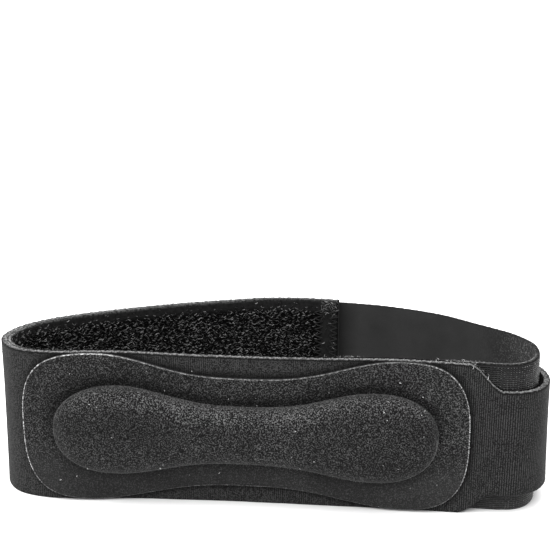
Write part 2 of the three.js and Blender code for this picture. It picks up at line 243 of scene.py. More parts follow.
class Layout:
    """Where every layer of the strap runs."""

    def __init__(self, scene):
        self.sizes = s = scene.strap_sizes
        self.wave = scene.strap_details.wave
        places = np.array([(across * s.loop_width, deep * s.loop_depth) for _, across, deep in PLAN])
        points, ways = smooth_loop(places)
        self.points = np.vstack([points, points[:1]])
        self.ways = np.vstack([ways, ways[:1]])
        steps = np.linalg.norm(np.diff(self.points, axis=0), axis=1)
        self.reach = np.concatenate([[0.0], np.cumsum(steps)])
        self.length = self.reach[-1]
        self.band = s.knit + s.gap + s.pile
        self.whole_tab = s.tab + s.gap + s.hooks
        self.spacing = self.band / 2 + s.gap + self.whole_tab / 2
        self.pad_run = PAD_SHARE * self.length
        self.backing_end = self.pad_run + s.backing_length / 2
        self.band_end = self.backing_end + s.shoulder - s.upper_lead + s.tongue
        self.tab_end = self.length + s.tab_overlap
        self.tab_tip = self.tab_end - s.tab_length
        self.backing_inner = self.band / 2
        self.pad_inner = self.band / 2 + s.gap + s.backing
        self.backing_bone = dict(
            length=s.backing_length,
            lobes=s.backing_lobes,
            lobe_margin=s.backing_lobe_margin,
            neck_margin=s.backing_neck_margin,
            bluntness=2.9,
        )
        self.pad_bone = dict(
            length=s.backing_length - 2 * s.pad_end_margin,
            lobes=s.pad_lobes,
            lobe_margin=s.backing_lobe_margin + s.pad_lobe_margin,
            neck_margin=s.backing_neck_margin + s.pad_neck_margin,
            bluntness=2.2,
        )
        self.shift = np.zeros(2)
        stations = np.arange(0, self.band_end - s.tongue_end, 0.004)
        outside = self.plan(stations[:, None], self.band_offset(stations)[:, None] + self.band / 2)
        low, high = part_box("knit_band")
        middle = np.array([(low.x + high.x) / 2, (low.y + high.y) / 2])
        self.shift = middle - (outside.min((0, 1)) + outside.max((0, 1))) / 2

    def ahead(self, runs):
        """Unit directions of the plan line at those runs."""
        runs = np.mod(runs, self.length)
        way = np.stack([np.interp(runs, self.reach, self.ways[:, axis]) for axis in (0, 1)], -1)
        return way / np.linalg.norm(way, axis=-1, keepdims=True)

    def plan(self, runs, offsets):
        """Points seen from above, at those runs and offsets."""
        way = self.ahead(runs)
        runs = np.mod(runs, self.length)
        point = np.stack([np.interp(runs, self.reach, self.points[:, axis]) for axis in (0, 1)], -1)
        out = np.stack([way[..., 1], -way[..., 0]], -1)
        return point + out * offsets[..., None] + self.shift

    def placed(self, runs, offsets, heights):
        """Points in space. Every layer shares one slow wave, so that neighbours keep their room."""
        runs, offsets, heights = np.broadcast_arrays(runs, offsets, heights)
        turn = 2 * np.pi * np.mod(runs, self.length) / self.length
        rise = np.pi * heights / self.sizes.band_height
        wave = np.sin(9 * turn + 1.3 * rise) + np.sin(17 * turn - 2.1 * rise + 1)
        wave = wave + 0.6 * np.sin(29 * turn + rise + 4)
        low = np.clip(1 - heights / self.sizes.band_height, 0, 1) ** 2
        offsets = offsets + self.sizes.flare * low * np.abs(self.outward(runs)[..., 0])
        flat = self.plan(runs, offsets + self.wave * wave / 2.6)
        return np.concatenate([flat, heights[..., None]], -1)

    def outward(self, runs):
        way = self.ahead(runs)
        return np.stack([way[..., 1], -way[..., 0], np.zeros_like(way[..., 0])], -1)

    def onward(self, runs):
        way = self.ahead(runs)
        return np.stack([way[..., 0], way[..., 1], np.zeros_like(way[..., 0])], -1)

    def tab_offset(self, runs):
        """The tab lies inside the band at the front and has crossed outside it at the seam."""
        end = self.length - self.sizes.crossing_clearance
        return self.spacing * (2 * ease(runs, CROSSING_SHARE * self.length, end) - 1)

    def band_offset(self, runs):
        """None until the tongue, which keeps outside the tab and then outside the band."""
        start = self.tab_end + self.sizes.gap
        landing = ease(runs, start, start + self.sizes.landing)
        return lerp(self.tab_offset(runs) + self.spacing, self.band + self.sizes.gap, landing)

    def wear(self, runs):
        """How frayed a cut edge is: little at the seam, more along the back and most in front, from
        the left bend to the right one."""
        fresh = 0.28
        back, left_bend, right_bend = (0.012, 0.05), (0.1, 0.127), (0.318, 0.338)
        used = 0.36 * ease(runs, *back) + 0.64 * ease(runs, *left_bend)
        return fresh + (1 - fresh) * used * (1 - ease(runs, *right_bend))

    def tangle(self, runs):
        """Places where the threads of the cut edge have come loose: a run, a reach and a share each."""
        places = ((0.2785, 0.0052, 2.3), (0.2435, 0.003, 1.2), (0.150, 0.006, 0.4))
        return sum(share * np.exp(-(((runs - run) / reach) ** 2)) for run, reach, share in places)

    def lobe_share(self, distance, lobes):
        """0 at a dog-bone's neck and 1 from its lobes on."""
        share = np.minimum(np.abs(distance) / (lobes / 2), 1)
        return ((1 - np.cos(np.pi * share)) / 2) ** 1.6

    def rounded(self, low, high, left, end_length):
        """Draws both edges in towards the middle near a round free end, whose tip stays blunt."""
        tip_share = 0.16
        reach = np.clip(1 - np.maximum(left, 0) / end_length, 0, 1)
        half = (high - low) / 2 * np.maximum(np.sqrt(1 - reach**2), tip_share)
        middle = (low + high) / 2
        return middle - half, middle + half

    def band_edges(self, runs):
        s = self.sizes
        distance = np.abs(runs - self.pad_run)
        lobe = s.backing_lobes / 2
        fade = 1 - ease(distance, lobe, lobe + s.swell_fade)
        swell = s.lobe_swell * self.lobe_share(distance, s.backing_lobes) * fade
        starts = (self.backing_end - s.lower_lead, self.backing_end - s.upper_lead)
        lower, upper = (ease(runs, start, start + s.shoulder) for start in starts)
        low = s.tongue_lower_step * lower
        seam = s.seam_rise * (1 - ease(runs, 0.004, 0.04))
        high = s.band_height + swell - s.tongue_upper_step * upper + seam
        return self.rounded(low, high, self.band_end - runs, s.tongue_end)

    def tab_edges(self, runs, margin):
        s = self.sizes
        drop = s.tab_drop * ease(runs, self.tab_end - s.tab_drop_length, self.tab_end)
        right_bend, reach = 0.3195, 0.014
        rise = s.tab_rise * np.exp(-(((runs - right_bend) / reach) ** 2))
        low = np.full_like(runs, margin)
        high = s.band_height + rise - drop - margin
        return self.rounded(low, high, runs - self.tab_tip - margin, s.tab_end)

    def bone_edges(self, distance, bone):
        """Lower and upper edge of a dog-bone at a distance from its middle."""
        s = self.sizes
        lobe = bone["lobes"] / 2
        share = self.lobe_share(distance, bone["lobes"])
        margin = lerp(bone["neck_margin"], bone["lobe_margin"], share)
        middle = s.band_height / 2 + s.lobe_swell * share
        half = (s.band_height + s.lobe_swell * share) / 2 - margin
        reach = np.clip((np.abs(distance) - lobe) / (bone["length"] / 2 - lobe), 0, 1)
        half = half * (1 - reach ** bone["bluntness"]) ** (1 / bone["bluntness"])
        return middle - half, middle + half

    def bone_outline(self, bone, step):
        """The dog-bone's outline as even steps of distance and height, and its outward side."""
        turn = np.linspace(0.0, np.pi, 900)
        distance = -np.cos(turn) * bone["length"] / 2
        low, high = self.bone_edges(distance, bone)
        ring = np.vstack([np.stack([distance, high], -1), np.stack([distance, low], -1)[::-1]])
        steps = np.linalg.norm(np.diff(ring, axis=0), axis=1)
        reach = np.concatenate([[0.0], np.cumsum(steps)])
        even = np.linspace(0, reach[-1], int(reach[-1] / step))
        ring = np.stack([np.interp(even, reach, ring[:, axis]) for axis in (0, 1)], -1)
        way = np.gradient(ring, axis=0)
        side = np.stack([-way[:, 1], way[:, 0]], -1)
        return ring, side / np.maximum(np.linalg.norm(side, axis=1, keepdims=True), 1e-9)


def even_runs(start, end, step):
    return np.linspace(start, end, max(int(round((end - start) / step)), 2) + 1)


def end_runs(tip, towards_tip, end_length, count=26):
    """Runs over a round end, which crowd towards its tip."""
    left = end_length * (1 - np.cos(np.linspace(0, np.pi / 2, count, endpoint=False)))
    return np.sort(tip - towards_tip * left)


def ripple(runs, size, phase):
    """The small ups and downs of a scissor cut."""
    waves = ((2.9, 1.0), (1.7, 0.8), (0.83, 0.7), (0.47, 0.45))
    total = sum(share * np.sin(2 * np.pi * runs / (mm * 0.001) + phase * (1 + mm)) for mm, share in waves)
    return size * total / 2


def wall_section(bevel_in, bevel_out, rows, rim_points=6, arc_steps=3, back_rows=4, pale=(0, 1), sharp=3):
    """A wall's section, round from the foot of its inner face. Each row of the table holds the share
    from the inner to the outer face and a shift, the share from the lower to the upper edge and a
    shift, and how much the point is cut edge, fray and outer face. pale is how frayed the inner and
    the outer corner are, and sharp how close to its corner the fray stays."""
    rim = []
    for t in np.linspace(0, 1, rim_points):
        frayed = min(1.0, pale[0] * (1 - t) ** sharp + pale[1] * t**sharp)
        rim.append((t, bevel_in * (1 - t) - bevel_out * t, frayed))
    arc = []
    for turn in np.linspace(0, np.pi / 2, arc_steps + 2)[1:-1]:
        arc.append((bevel_out * (1 - math.sin(turn)), bevel_out * (1 - math.cos(turn)), math.cos(turn)))
    beside_outer, beside_inner = bevel_out + 0.0004, bevel_in + 0.0005
    points = [(t, shift, 0, 0, 1, frayed, 0) for t, shift, frayed in rim]
    points += [(1, -back, 0, up, cut, pale[1] * cut, 0) for back, up, cut in arc]
    points += [(1, 0, 0, bevel_out, 0, 0, 0), (1, 0, 0, beside_outer, 0, 0, 1)]
    points += [(1, 0, t, 0, 0, 0, 1) for t in np.linspace(0, 1, rows + 2)[1:-1]]
    points += [(1, 0, 1, -beside_outer, 0, 0, 1), (1, 0, 1, -bevel_out, 0, 0, 0)]
    points += [(1, -back, 1, -up, cut, pale[1] * cut, 0) for back, up, cut in arc[::-1]]
    points += [(t, shift, 1, 0, 1, frayed, 0) for t, shift, frayed in rim[::-1]]
    points += [(0, 0, 1, -bevel_in, 0.5, pale[0], 0), (0, 0, 1, -beside_inner, 0, 0, 0)]
    points += [(0, 0, t, 0, 0, 0, 0) for t in np.linspace(1, 0, back_rows + 2)[1:-1]]
    points += [(0, 0, 0, beside_inner, 0, 0, 0), (0, 0, 0, bevel_in, 0.5, pale[0], 0)]
    return np.array(points)


def grid_mesh(name, points, closed, marks):
    """A mesh through a table of points, station by point. marks are named values, one a point, and
    closed turns the stations into rings with a cap on each end."""
    stations, count = points.shape[:2]
    first = np.arange(stations - 1)[:, None] * count
    side = np.arange(count if closed else count - 1)[None, :]
    a = first + side
    b = first + (side + 1) % count
    faces = np.stack([a, b, b + count, a + count], -1).reshape(-1, 4).tolist()
    if closed:
        last = (stations - 1) * count
        faces.append(list(range(count))[::-1])
        faces.append(list(range(last, last + count)))
    mesh = bpy.data.meshes.new(name)
    mesh.from_pydata(points.reshape(-1, 3).tolist(), [], faces)
    for mark, values in marks.items():
        shape = points.shape if np.ndim(values) == 3 else points.shape[:2]
        values = np.ascontiguousarray(np.broadcast_to(values, shape), dtype=np.float32).ravel()
        kind, key = ("FLOAT_VECTOR", "vector") if len(shape) == 3 else ("FLOAT", "value")
        mesh.attributes.new(mark, kind, "POINT").data.foreach_set(key, values)
    mesh.shade_smooth()
    if closed:
        turn_out(mesh)
        mesh.set_sharp_from_angle(angle=math.radians(62))
    return mesh


def turn_out(mesh):
    """Turns a closed mesh's faces outwards."""
    corners = np.zeros(len(mesh.vertices) * 3)
    mesh.vertices.foreach_get("co", corners)
    corners = corners.reshape(-1, 3)
    mesh.calc_loop_triangles()
    picks = np.zeros(len(mesh.loop_triangles) * 3, dtype=np.int64)
    mesh.loop_triangles.foreach_get("vertices", picks)
    a, b, c = (corners[picks.reshape(-1, 3)[:, side]] for side in range(3))
    if np.einsum("ij,ij->i", a, np.cross(b, c)).sum() < 0:
        mesh.flip_normals()


def wall_points(layout, runs, inner, outer, low, high, section, uneven):
    """A closed cloth wall between two offsets and two edges: its runs, offsets, heights and marks."""
    table = np.broadcast_arrays(runs, inner, outer, low, high)
    runs, inner, outer, low, high = (np.asarray(row)[:, None] for row in table)
    share_out, shift_out, share_up, shift_up, cut, fray, face = section.T
    offsets = inner + (outer - inner) * share_out + shift_out
    heights = low + (high - low) * share_up + shift_up
    heights = heights + ripple(runs, uneven, 1.7) * cut * share_up
    marks = {
        "run": runs + 0 * offsets,
        "height": heights,
        "cut": cut + 0 * offsets,
        "fray": fray * layout.wear(runs) + 0 * offsets,
        "face": face + 0 * offsets,
        "outward": layout.outward(runs[:, 0])[:, None, :] + np.zeros(offsets.shape + (3,)),
    }
    marks["fray"][[0, -1]] = 0
    return runs, offsets, heights, marks


def under_rim(heights, marks, depth):
    """A line of painted shade that is 1 at that depth under a wall's upper rim and as wide as it is deep.
    """
    down = np.max(heights, axis=1, keepdims=True) - heights
    return np.exp(-(((down - depth) / depth) ** 2)) * (marks["cut"] < 0.95)


def wall_mesh(layout, name, worn, shaded, wall, section, uneven):
    """A cloth wall whose fray is scaled along its runs, with painted shade on both ends. shaded is how
    dark the painted shade line under its upper rim is on the outer face."""
    runs, offsets, heights, marks = wall_points(layout, *wall, section, uneven)
    marks["fray"] = marks["fray"] * np.reshape(worn, (-1, 1))
    share_out = section[:, 0]
    line = under_rim(heights, marks, 0.00035) * (share_out > 0.5)
    marks["painted_shade"] = np.reshape(shaded, (-1, 1)) * line
    marks["painted_shade"][[0, -1]] = 0.8
    return grid_mesh(name, layout.placed(runs, offsets, heights), True, marks)


def new_object(name, mesh):
    made = bpy.data.objects.new(name, mesh)
    bpy.context.scene.collection.objects.link(made)
    return made


def field(layout, runs, offsets, heights, outward, growth=1.0, along=None):
    """An open patch of points that fibres grow from."""
    points = layout.placed(runs, offsets, heights)
    forward = layout.onward(np.broadcast_to(runs, points.shape[:2]))
    return {
        "points": points,
        "outward": np.broadcast_to(outward, points.shape),
        "along": np.broadcast_to(forward if along is None else along, points.shape),
        "growth": growth,
    }


def fields_object(name, fields):
    """One helper object out of several patches."""
    helpers = []
    for one in fields:
        marks = {key: np.array(one[key]) for key in ("outward", "along")}
        marks["growth"] = one["growth"]
        helpers.append(new_object(name, grid_mesh(name, one["points"], False, marks)))
    if len(helpers) > 1:
        chosen = {"selected_objects": helpers, "selected_editable_objects": helpers}
        with bpy.context.temp_override(active_object=helpers[0], **chosen):
            bpy.ops.object.join()
    return helpers[0]


def add(tree, kind, links=(), **settings):
    """Adds a node with its settings, and links or sets its inputs: those that a dictionary names or
    numbers, or its first ones in order."""
    node = tree.nodes.new(kind)
    for key, value in settings.items():
        setattr(node, key, value)
    for key, value in links.items() if isinstance(links, dict) else enumerate(links):
        if isinstance(value, bpy.types.NodeSocket):
            tree.links.new(value, node.inputs[key])
        else:
            node.inputs[key].default_value = value
    return node


def new_tree(name, sockets):
    """A node group for geometry with named inputs, its input node's outputs and its output node."""
    tree = bpy.data.node_groups.new(name, "GeometryNodeTree")
    for way in ("OUTPUT", "INPUT"):
        tree.interface.new_socket("Geometry", in_out=way, socket_type="NodeSocketGeometry")
    for socket, kind in sockets.items():
        tree.interface.new_socket(socket, in_out="INPUT", socket_type="NodeSocket" + kind)
    return tree, add(tree, "NodeGroupInput").outputs, add(tree, "NodeGroupOutput")


def close_tree(tree, geometry, material, result):
    """Ends a tree in real geometry with its material."""
    real = add(tree, "GeometryNodeRealizeInstances", {"Geometry": geometry}).outputs["Geometry"]
    done = add(tree, "GeometryNodeSetMaterial", {"Geometry": real, "Material": material})
    tree.links.new(done.outputs["Geometry"], result.inputs["Geometry"])
    return tree


def fibre_tree():
    """Grows bent fibres out of a surface, or one on each of its points. A fibre is part of a circle
    that stands in the plane of the outward and along directions."""
    shape = ("Density", "Bend radius", "Start", "Sweep", "Thickness")
    chance = ("Lean", "Spin", "Smallest", "Largest")
    sockets = {name: "Float" for name in shape + chance}
    sockets.update({"On its points": "Bool", "Foot": "Vector", "Steps": "Int"})
    sockets.update({"Seed": "Int", "Material": "Material"})
    tree, given, result = new_tree(FIBRES, sockets)
    seed = given["Seed"]
    growth = add(
        tree, "GeometryNodeInputNamedAttribute", {"Name": "growth"}, data_type="FLOAT"
    ).outputs[0]
    density = add(tree, "ShaderNodeMath", (given["Density"], growth), operation="MULTIPLY").outputs[0]
    spread = add(
        tree,
        "GeometryNodeDistributePointsOnFaces",
        {"Mesh": given["Geometry"], "Density": density, "Seed": seed},
        distribute_method="RANDOM",
    )
    points = add(
        tree,
        "GeometryNodeSwitch",
        {"Switch": given["On its points"], "False": spread.outputs["Points"], "True": given["Geometry"]},
        input_type="GEOMETRY",
    ).outputs["Output"]
    bend = add(
        tree,
        "GeometryNodeCurveArc",
        {
            "Resolution": given["Steps"],
            "Radius": given["Bend radius"],
            "Start Angle": given["Start"],
            "Sweep Angle": given["Sweep"],
        },
        mode="RADIUS",
    )
    half = add(tree, "ShaderNodeMath", (given["Thickness"], 0.5), operation="MULTIPLY").outputs[0]
    ring = add(tree, "GeometryNodeCurvePrimitiveCircle", {"Resolution": 3, "Radius": half}, mode="RADIUS")
    tube = add(
        tree,
        "GeometryNodeCurveToMesh",
        {"Curve": bend.outputs["Curve"], "Profile Curve": ring.outputs["Curve"], "Fill Caps": True},
    )
    smooth = add(tree, "GeometryNodeSetShadeSmooth", {"Geometry": tube.outputs["Mesh"]})
    stood = add(
        tree,
        "GeometryNodeTransform",
        {
            "Geometry": smooth.outputs["Geometry"],
            "Translation": given["Foot"],
            "Rotation": (math.pi / 2, 0, 0),
        },
    )
    outward = add(
        tree, "GeometryNodeInputNamedAttribute", {"Name": "outward"}, data_type="FLOAT_VECTOR"
    ).outputs[0]
    up = {"Vector": outward}
    upright = add(tree, "FunctionNodeAlignRotationToVector", up, axis="Z").outputs["Rotation"]
    along = add(
        tree, "GeometryNodeInputNamedAttribute", {"Name": "along"}, data_type="FLOAT_VECTOR"
    ).outputs[0]
    on = {"Rotation": upright, "Vector": along}
    facing = add(tree, "FunctionNodeAlignRotationToVector", on, axis="X", pivot_axis="Z")
    lean = given["Lean"]
    most = add(tree, "ShaderNodeCombineXYZ", {"X": lean, "Y": lean, "Z": given["Spin"]}).outputs[0]
    least = add(tree, "ShaderNodeVectorMath", {0: most, "Scale": -1.0}, operation="SCALE").outputs[0]
    tilt = add(tree, "FunctionNodeRandomValue", {0: least, 1: most, "Seed": seed}, data_type="FLOAT_VECTOR")
    turn = add(tree, "FunctionNodeEulerToRotation", {"Euler": tilt.outputs[0]}).outputs[0]
    turned = add(
        tree,
        "FunctionNodeRotateRotation",
        {"Rotation": facing.outputs["Rotation"], "Rotate By": turn},
        rotation_space="LOCAL",
    )
    size_seed = add(tree, "ShaderNodeMath", (seed, 31.0), operation="ADD").outputs[0]
    limits = {2: given["Smallest"], 3: given["Largest"], "Seed": size_seed}
    size = add(tree, "FunctionNodeRandomValue", limits, data_type="FLOAT").outputs[1]
    placed = add(
        tree,
        "GeometryNodeInstanceOnPoints",
        {
            "Points": points,
            "Instance": stood.outputs["Geometry"],
            "Rotation": turned.outputs["Rotation"],
            "Scale": size,
        },
    )
    shade_seed = add(tree, "ShaderNodeMath", (seed, 77.0), operation="ADD").outputs[0]
    shade = add(tree, "FunctionNodeRandomValue", {"Seed": shade_seed}, data_type="FLOAT").outputs[1]
    shaded = add(
        tree,
        "GeometryNodeStoreNamedAttribute",
        {"Geometry": placed.outputs["Instances"], "Name": "shade", "Value": shade},
        data_type="FLOAT",
        domain="INSTANCE",
    )
    return close_tree(tree, shaded.outputs["Geometry"], given["Material"], result)


def rib_tree():
    """Presses the grooves between the wales into a knit wall's outer face, deeper in some clusters
    than in others."""
    sockets = {"Pitch": "Float", "Depth": "Float", "Cluster": "Float", "Material": "Material"}
    tree, given, result = new_tree("Wales of a rib knit", sockets)
    run = add(tree, "GeometryNodeInputNamedAttribute", {"Name": "run"}, data_type="FLOAT").outputs[0]
    turns = add(tree, "ShaderNodeMath", (run, given["Pitch"]), operation="DIVIDE").outputs[0]
    angle = add(tree, "ShaderNodeMath", (turns, 2 * math.pi), operation="MULTIPLY").outputs[0]
    wave = add(tree, "ShaderNodeMath", (angle,), operation="COSINE").outputs[0]
    groove = add(tree, "ShaderNodeMapRange", (wave, 1.0, -1.0)).outputs[0]
    place = add(tree, "ShaderNodeMath", (run, given["Cluster"]), operation="DIVIDE").outputs[0]
    patchy = {"W": place, "Scale": 1.0, "Detail": 2.0}
    patch = add(tree, "ShaderNodeTexNoise", patchy, noise_dimensions="1D").outputs[0]
    share = add(tree, "ShaderNodeMapRange", (patch, 0.35, 0.65, 0.35)).outputs[0]
    grooves = add(tree, "ShaderNodeMath", (groove, share), operation="MULTIPLY").outputs[0]
    face = add(tree, "GeometryNodeInputNamedAttribute", {"Name": "face"}, data_type="FLOAT").outputs[0]
    masked = add(tree, "ShaderNodeMath", (grooves, face), operation="MULTIPLY").outputs[0]
    inward = add(tree, "ShaderNodeMath", (given["Depth"], -1.0), operation="MULTIPLY").outputs[0]
    sunk = add(tree, "ShaderNodeMath", (masked, inward), operation="MULTIPLY").outputs[0]
    outward = add(
        tree, "GeometryNodeInputNamedAttribute", {"Name": "outward"}, data_type="FLOAT_VECTOR"
    ).outputs[0]
    moved = add(tree, "ShaderNodeVectorMath", {0: outward, "Scale": sunk}, operation="SCALE").outputs[0]
    pressed = add(tree, "GeometryNodeSetPosition", {"Geometry": given["Geometry"], "Offset": moved})
    return close_tree(tree, pressed.outputs["Geometry"], given["Material"], result)


def grown(name, base, tree, values):
    """The plain mesh object that a node tree makes from a base object, which is then removed."""
    modifier = base.modifiers.new(tree.name, "NODES")
    modifier.node_group = tree
    for socket in tree.interface.items_tree:
        if socket.in_out == "INPUT" and socket.name in values:
            modifier[socket.identifier] = values[socket.name]
    depsgraph = bpy.context.evaluated_depsgraph_get()
    shaped = base.evaluated_get(depsgraph)
    mesh = bpy.data.meshes.new_from_object(shaped, preserve_all_data_layers=True, depsgraph=depsgraph)
    mesh.name = name
    if not mesh.polygons:
        raise RuntimeError(f"{name} came out empty")
    base.modifiers.remove(modifier)
    bpy.data.objects.remove(base)
    return new_object(name, mesh)


def strand(size, sweep, standing):
    """A fibre's bend: a standing one rises from its foot, and another one arches over its middle."""
    radius = size / sweep
    if standing:
        return {"Bend radius": radius, "Start": 0.0, "Sweep": sweep, "Foot": (-radius, 0.0, 0.0)}
    foot = (0.0, 0.0, -radius * math.cos(sweep / 2))
    return {"Bend radius": radius, "Start": math.pi / 2 - sweep / 2, "Sweep": sweep, "Foot": foot}


def fibres(
    name,
    fields,
    material,
    bend,
    density,
    thickness,
    lean,
    spin,
    seed,
    sizes=(0.6, 1.2),
    steps=4,
    on_points=False,
):
    """A piece of fibres out of those fields. density is how many stand on a square metre, lean and
    spin how far one may tip and turn, and sizes the smallest and the largest share of its size."""
    values = {
        **bend,
        "Density": density,
        "On its points": on_points,
        "Steps": steps,
        "Thickness": thickness,
        "Lean": lean,
        "Spin": spin,
        "Smallest": sizes[0],
        "Largest": sizes[1],
        "Seed": seed,
        "Material": material,
    }
    tree = bpy.data.node_groups.get(FIBRES) or fibre_tree()
    return grown(name, fields_object(name + "_field", fields), tree, values)


def settle(piece, slot, *nodes):
    """The piece rides on the strap and stands for the frame's nodes. slot, its finish, is not used."""
    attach(piece, "root")
    if nodes:
        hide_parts(*nodes)
    return piece


def new_material(name, roughness, sheen=0.0, specular=0.5):
    material = bpy.data.materials.new(name)
    material.use_nodes = True
    shader = material.node_tree.nodes["Principled BSDF"]
    shader.inputs["Roughness"].default_value = roughness
    shader.inputs["Sheen Weight"].default_value = sheen
    shader.inputs["Sheen Roughness"].default_value = 0.45
    shader.inputs["Specular IOR Level"].default_value = specular
    return material, material.node_tree, shader


def surface(tree, shader, colour, strength=0.0, distance=0.0, height=None):
    """Gives a shader its colour, and its relief where there is a height."""
    tree.links.new(colour, shader.inputs["Base Color"])
    if height is not None:
        relief = {"Strength": strength, "Distance": distance, "Height": height}
        bump = add(tree, "ShaderNodeBump", relief)
        tree.links.new(bump.outputs["Normal"], shader.inputs["Normal"])


def scaled(colour, share):
    return [share * part for part in colour[:3]] + [1.0]


def cut_edge(tree, colours, face, cut_colour, fray_colour, grain):
    """The face's colour with the cut foam and the pale fray of an edge over it, and painted shade over
    both, in the pile ground's near-black colour. grain is the size of the fray's specks."""
    cut, fray, painted_shade = (
        add(tree, "ShaderNodeAttribute", attribute_name=name).outputs["Fac"]
        for name in ("cut", "fray", "painted_shade")
    )
    place = add(tree, "ShaderNodeTexCoord").outputs["Object"]
    specks = add(
        tree, "ShaderNodeTexNoise", {"Vector": place, "Scale": 1 / grain, "Detail": 3.0}
    ).outputs[0]
    grains = add(tree, "ShaderNodeMapRange", (specks, 0.42, 0.6)).outputs[0]
    dark = scaled(cut_colour, 0.3)
    foam = add(tree, "ShaderNodeMix", {0: grains, 6: dark, 7: cut_colour}, data_type="RGBA").outputs[2]
    edge = add(tree, "ShaderNodeMix", {0: cut, 6: face, 7: foam}, data_type="RGBA").outputs[2]
    kept = add(tree, "ShaderNodeMapRange", (grains, 0.0, 1.0, 0.12)).outputs[0]
    pale = add(tree, "ShaderNodeMath", (fray, kept), operation="MULTIPLY").outputs[0]
    frayed = add(tree, "ShaderNodeMix", {0: pale, 6: edge, 7: fray_colour}, data_type="RGBA").outputs[2]
    # Painted shade in creases, under rims and at the ends of walls
    return add(
        tree, "ShaderNodeMix", {0: painted_shade, 6: frayed, 7: colours.pile}, data_type="RGBA"
    ).outputs[2]


def row_wave(tree, value, pitch):
    """A wave with that pitch over a value in metres."""
    angle = add(tree, "ShaderNodeMath", (value, 2 * math.pi / pitch), operation="MULTIPLY").outputs[0]
    return add(tree, "ShaderNodeMath", (angle,), operation="COSINE").outputs[0]


def knit_material(colours, details):
    # Rib knit, circular knitted from textured polyamide and bonded to foam. Its wales are painted
    # lighter and its grooves darker, painted light and shade, as faint upright lines, stronger in some
    # clusters than in others and clearest on the tongue, and the fluffy yarn takes all gloss away. The
    # wales are 0.68 mm apart, as coarse as they need to be to show.
    material, tree, shader = new_material("Polyamide rib knit, foam backed", 0.9, 0.03, 0.12)
    place = add(tree, "ShaderNodeTexCoord").outputs["Object"]
    run = add(tree, "ShaderNodeAttribute", attribute_name="run").outputs["Fac"]
    clusters = add(
        tree, "ShaderNodeTexNoise", {"Vector": place, "Scale": 110.0, "Detail": 2.0}
    ).outputs[0]
    share = add(tree, "ShaderNodeMapRange", (clusters, 0.44, 0.6, 0.05, 0.5)).outputs[0]
    shoulder = (0.272, 0.29)
    tongue = add(tree, "ShaderNodeMapRange", (run, *shoulder)).outputs[0]
    deeper = add(tree, "ShaderNodeMath", (tongue, 0.4, share), operation="MULTIPLY_ADD").outputs[0]
    level = add(tree, "ShaderNodeMath", (tongue, -0.22, 0.36), operation="MULTIPLY_ADD").outputs[0]
    wave = row_wave(tree, run, details.rib_pitch)
    wales = add(tree, "ShaderNodeMath", (wave, deeper, level), operation="MULTIPLY_ADD").outputs[0]
    across = add(tree, "ShaderNodeMath", (run, 1400.0), operation="MULTIPLY").outputs[0]
    height = add(tree, "ShaderNodeAttribute", attribute_name="height").outputs["Fac"]
    up = add(tree, "ShaderNodeMath", (height, 260.0), operation="MULTIPLY").outputs[0]
    thread = add(tree, "ShaderNodeCombineXYZ", {"X": across, "Y": up}).outputs[0]
    streaks = add(tree, "ShaderNodeTexNoise", {"Vector": thread, "Scale": 1.0, "Detail": 2.0}).outputs[0]
    streak = add(tree, "ShaderNodeMapRange", (streaks, 0.25, 0.75, -0.22, 0.22)).outputs[0]
    yarn = add(tree, "ShaderNodeTexNoise", {"Vector": place, "Scale": 2600.0, "Detail": 1.0}).outputs[0]
    fluff = add(tree, "ShaderNodeMapRange", (yarn, 0.36, 0.64, -0.6, 0.65)).outputs[0]
    lines = add(tree, "ShaderNodeMath", (wales, streak), operation="ADD").outputs[0]
    shown = add(tree, "ShaderNodeMath", (lines, fluff), operation="ADD", use_clamp=True).outputs[0]
    face = add(
        tree, "ShaderNodeMix", {0: shown, 6: colours.knit, 7: colours.wale}, data_type="RGBA"
    ).outputs[2]
    edge = cut_edge(tree, colours, face, colours.foam, colours.fray, 0.0006)
    surface(tree, shader, edge, 0.6, 0.00015, yarn)
    return material


def pile_material(colours, details, height):
    # The ground cloth of a loop pile, warp knitted. It is nearly black, its own black with the painted
    # shade of the loops over it, but for the smooth selvage along its upper edge and the strip that the
    # seam presses flat.
    material, tree, shader = new_material("Loop pile ground cloth", 0.95, 0.0, 0.06)
    place = add(tree, "ShaderNodeTexCoord").outputs["Object"]
    tufts = add(tree, "ShaderNodeTexNoise", {"Vector": place, "Scale": 900.0, "Detail": 3.0}).outputs[0]
    selvage = (height - details.plain - 0.0012, height - details.plain + 0.0004)
    rise = add(tree, "ShaderNodeAttribute", attribute_name="height").outputs["Fac"]
    upper = add(tree, "ShaderNodeMapRange", (rise, *selvage)).outputs[0]
    pressed = (details.pressed + 0.001, details.pressed - 0.0005)
    run = add(tree, "ShaderNodeAttribute", attribute_name="run").outputs["Fac"]
    strip = add(tree, "ShaderNodeMapRange", (run, *pressed)).outputs[0]
    smooth = add(tree, "ShaderNodeMath", (upper, strip), operation="MAXIMUM").outputs[0]
    mottle = add(tree, "ShaderNodeMapRange", (tufts, 0.3, 0.7, 0.45, 1.2)).outputs[0]
    share = add(tree, "ShaderNodeMath", (smooth, mottle), operation="MULTIPLY").outputs[0]
    face = add(
        tree, "ShaderNodeMix", {0: share, 6: colours.pile, 7: colours.selvage}, data_type="RGBA"
    ).outputs[2]
    edge = cut_edge(tree, colours, face, colours.pile, colours.fray, 0.0006)
    surface(tree, shader, edge, 0.6, 0.0002, tufts)
    return material


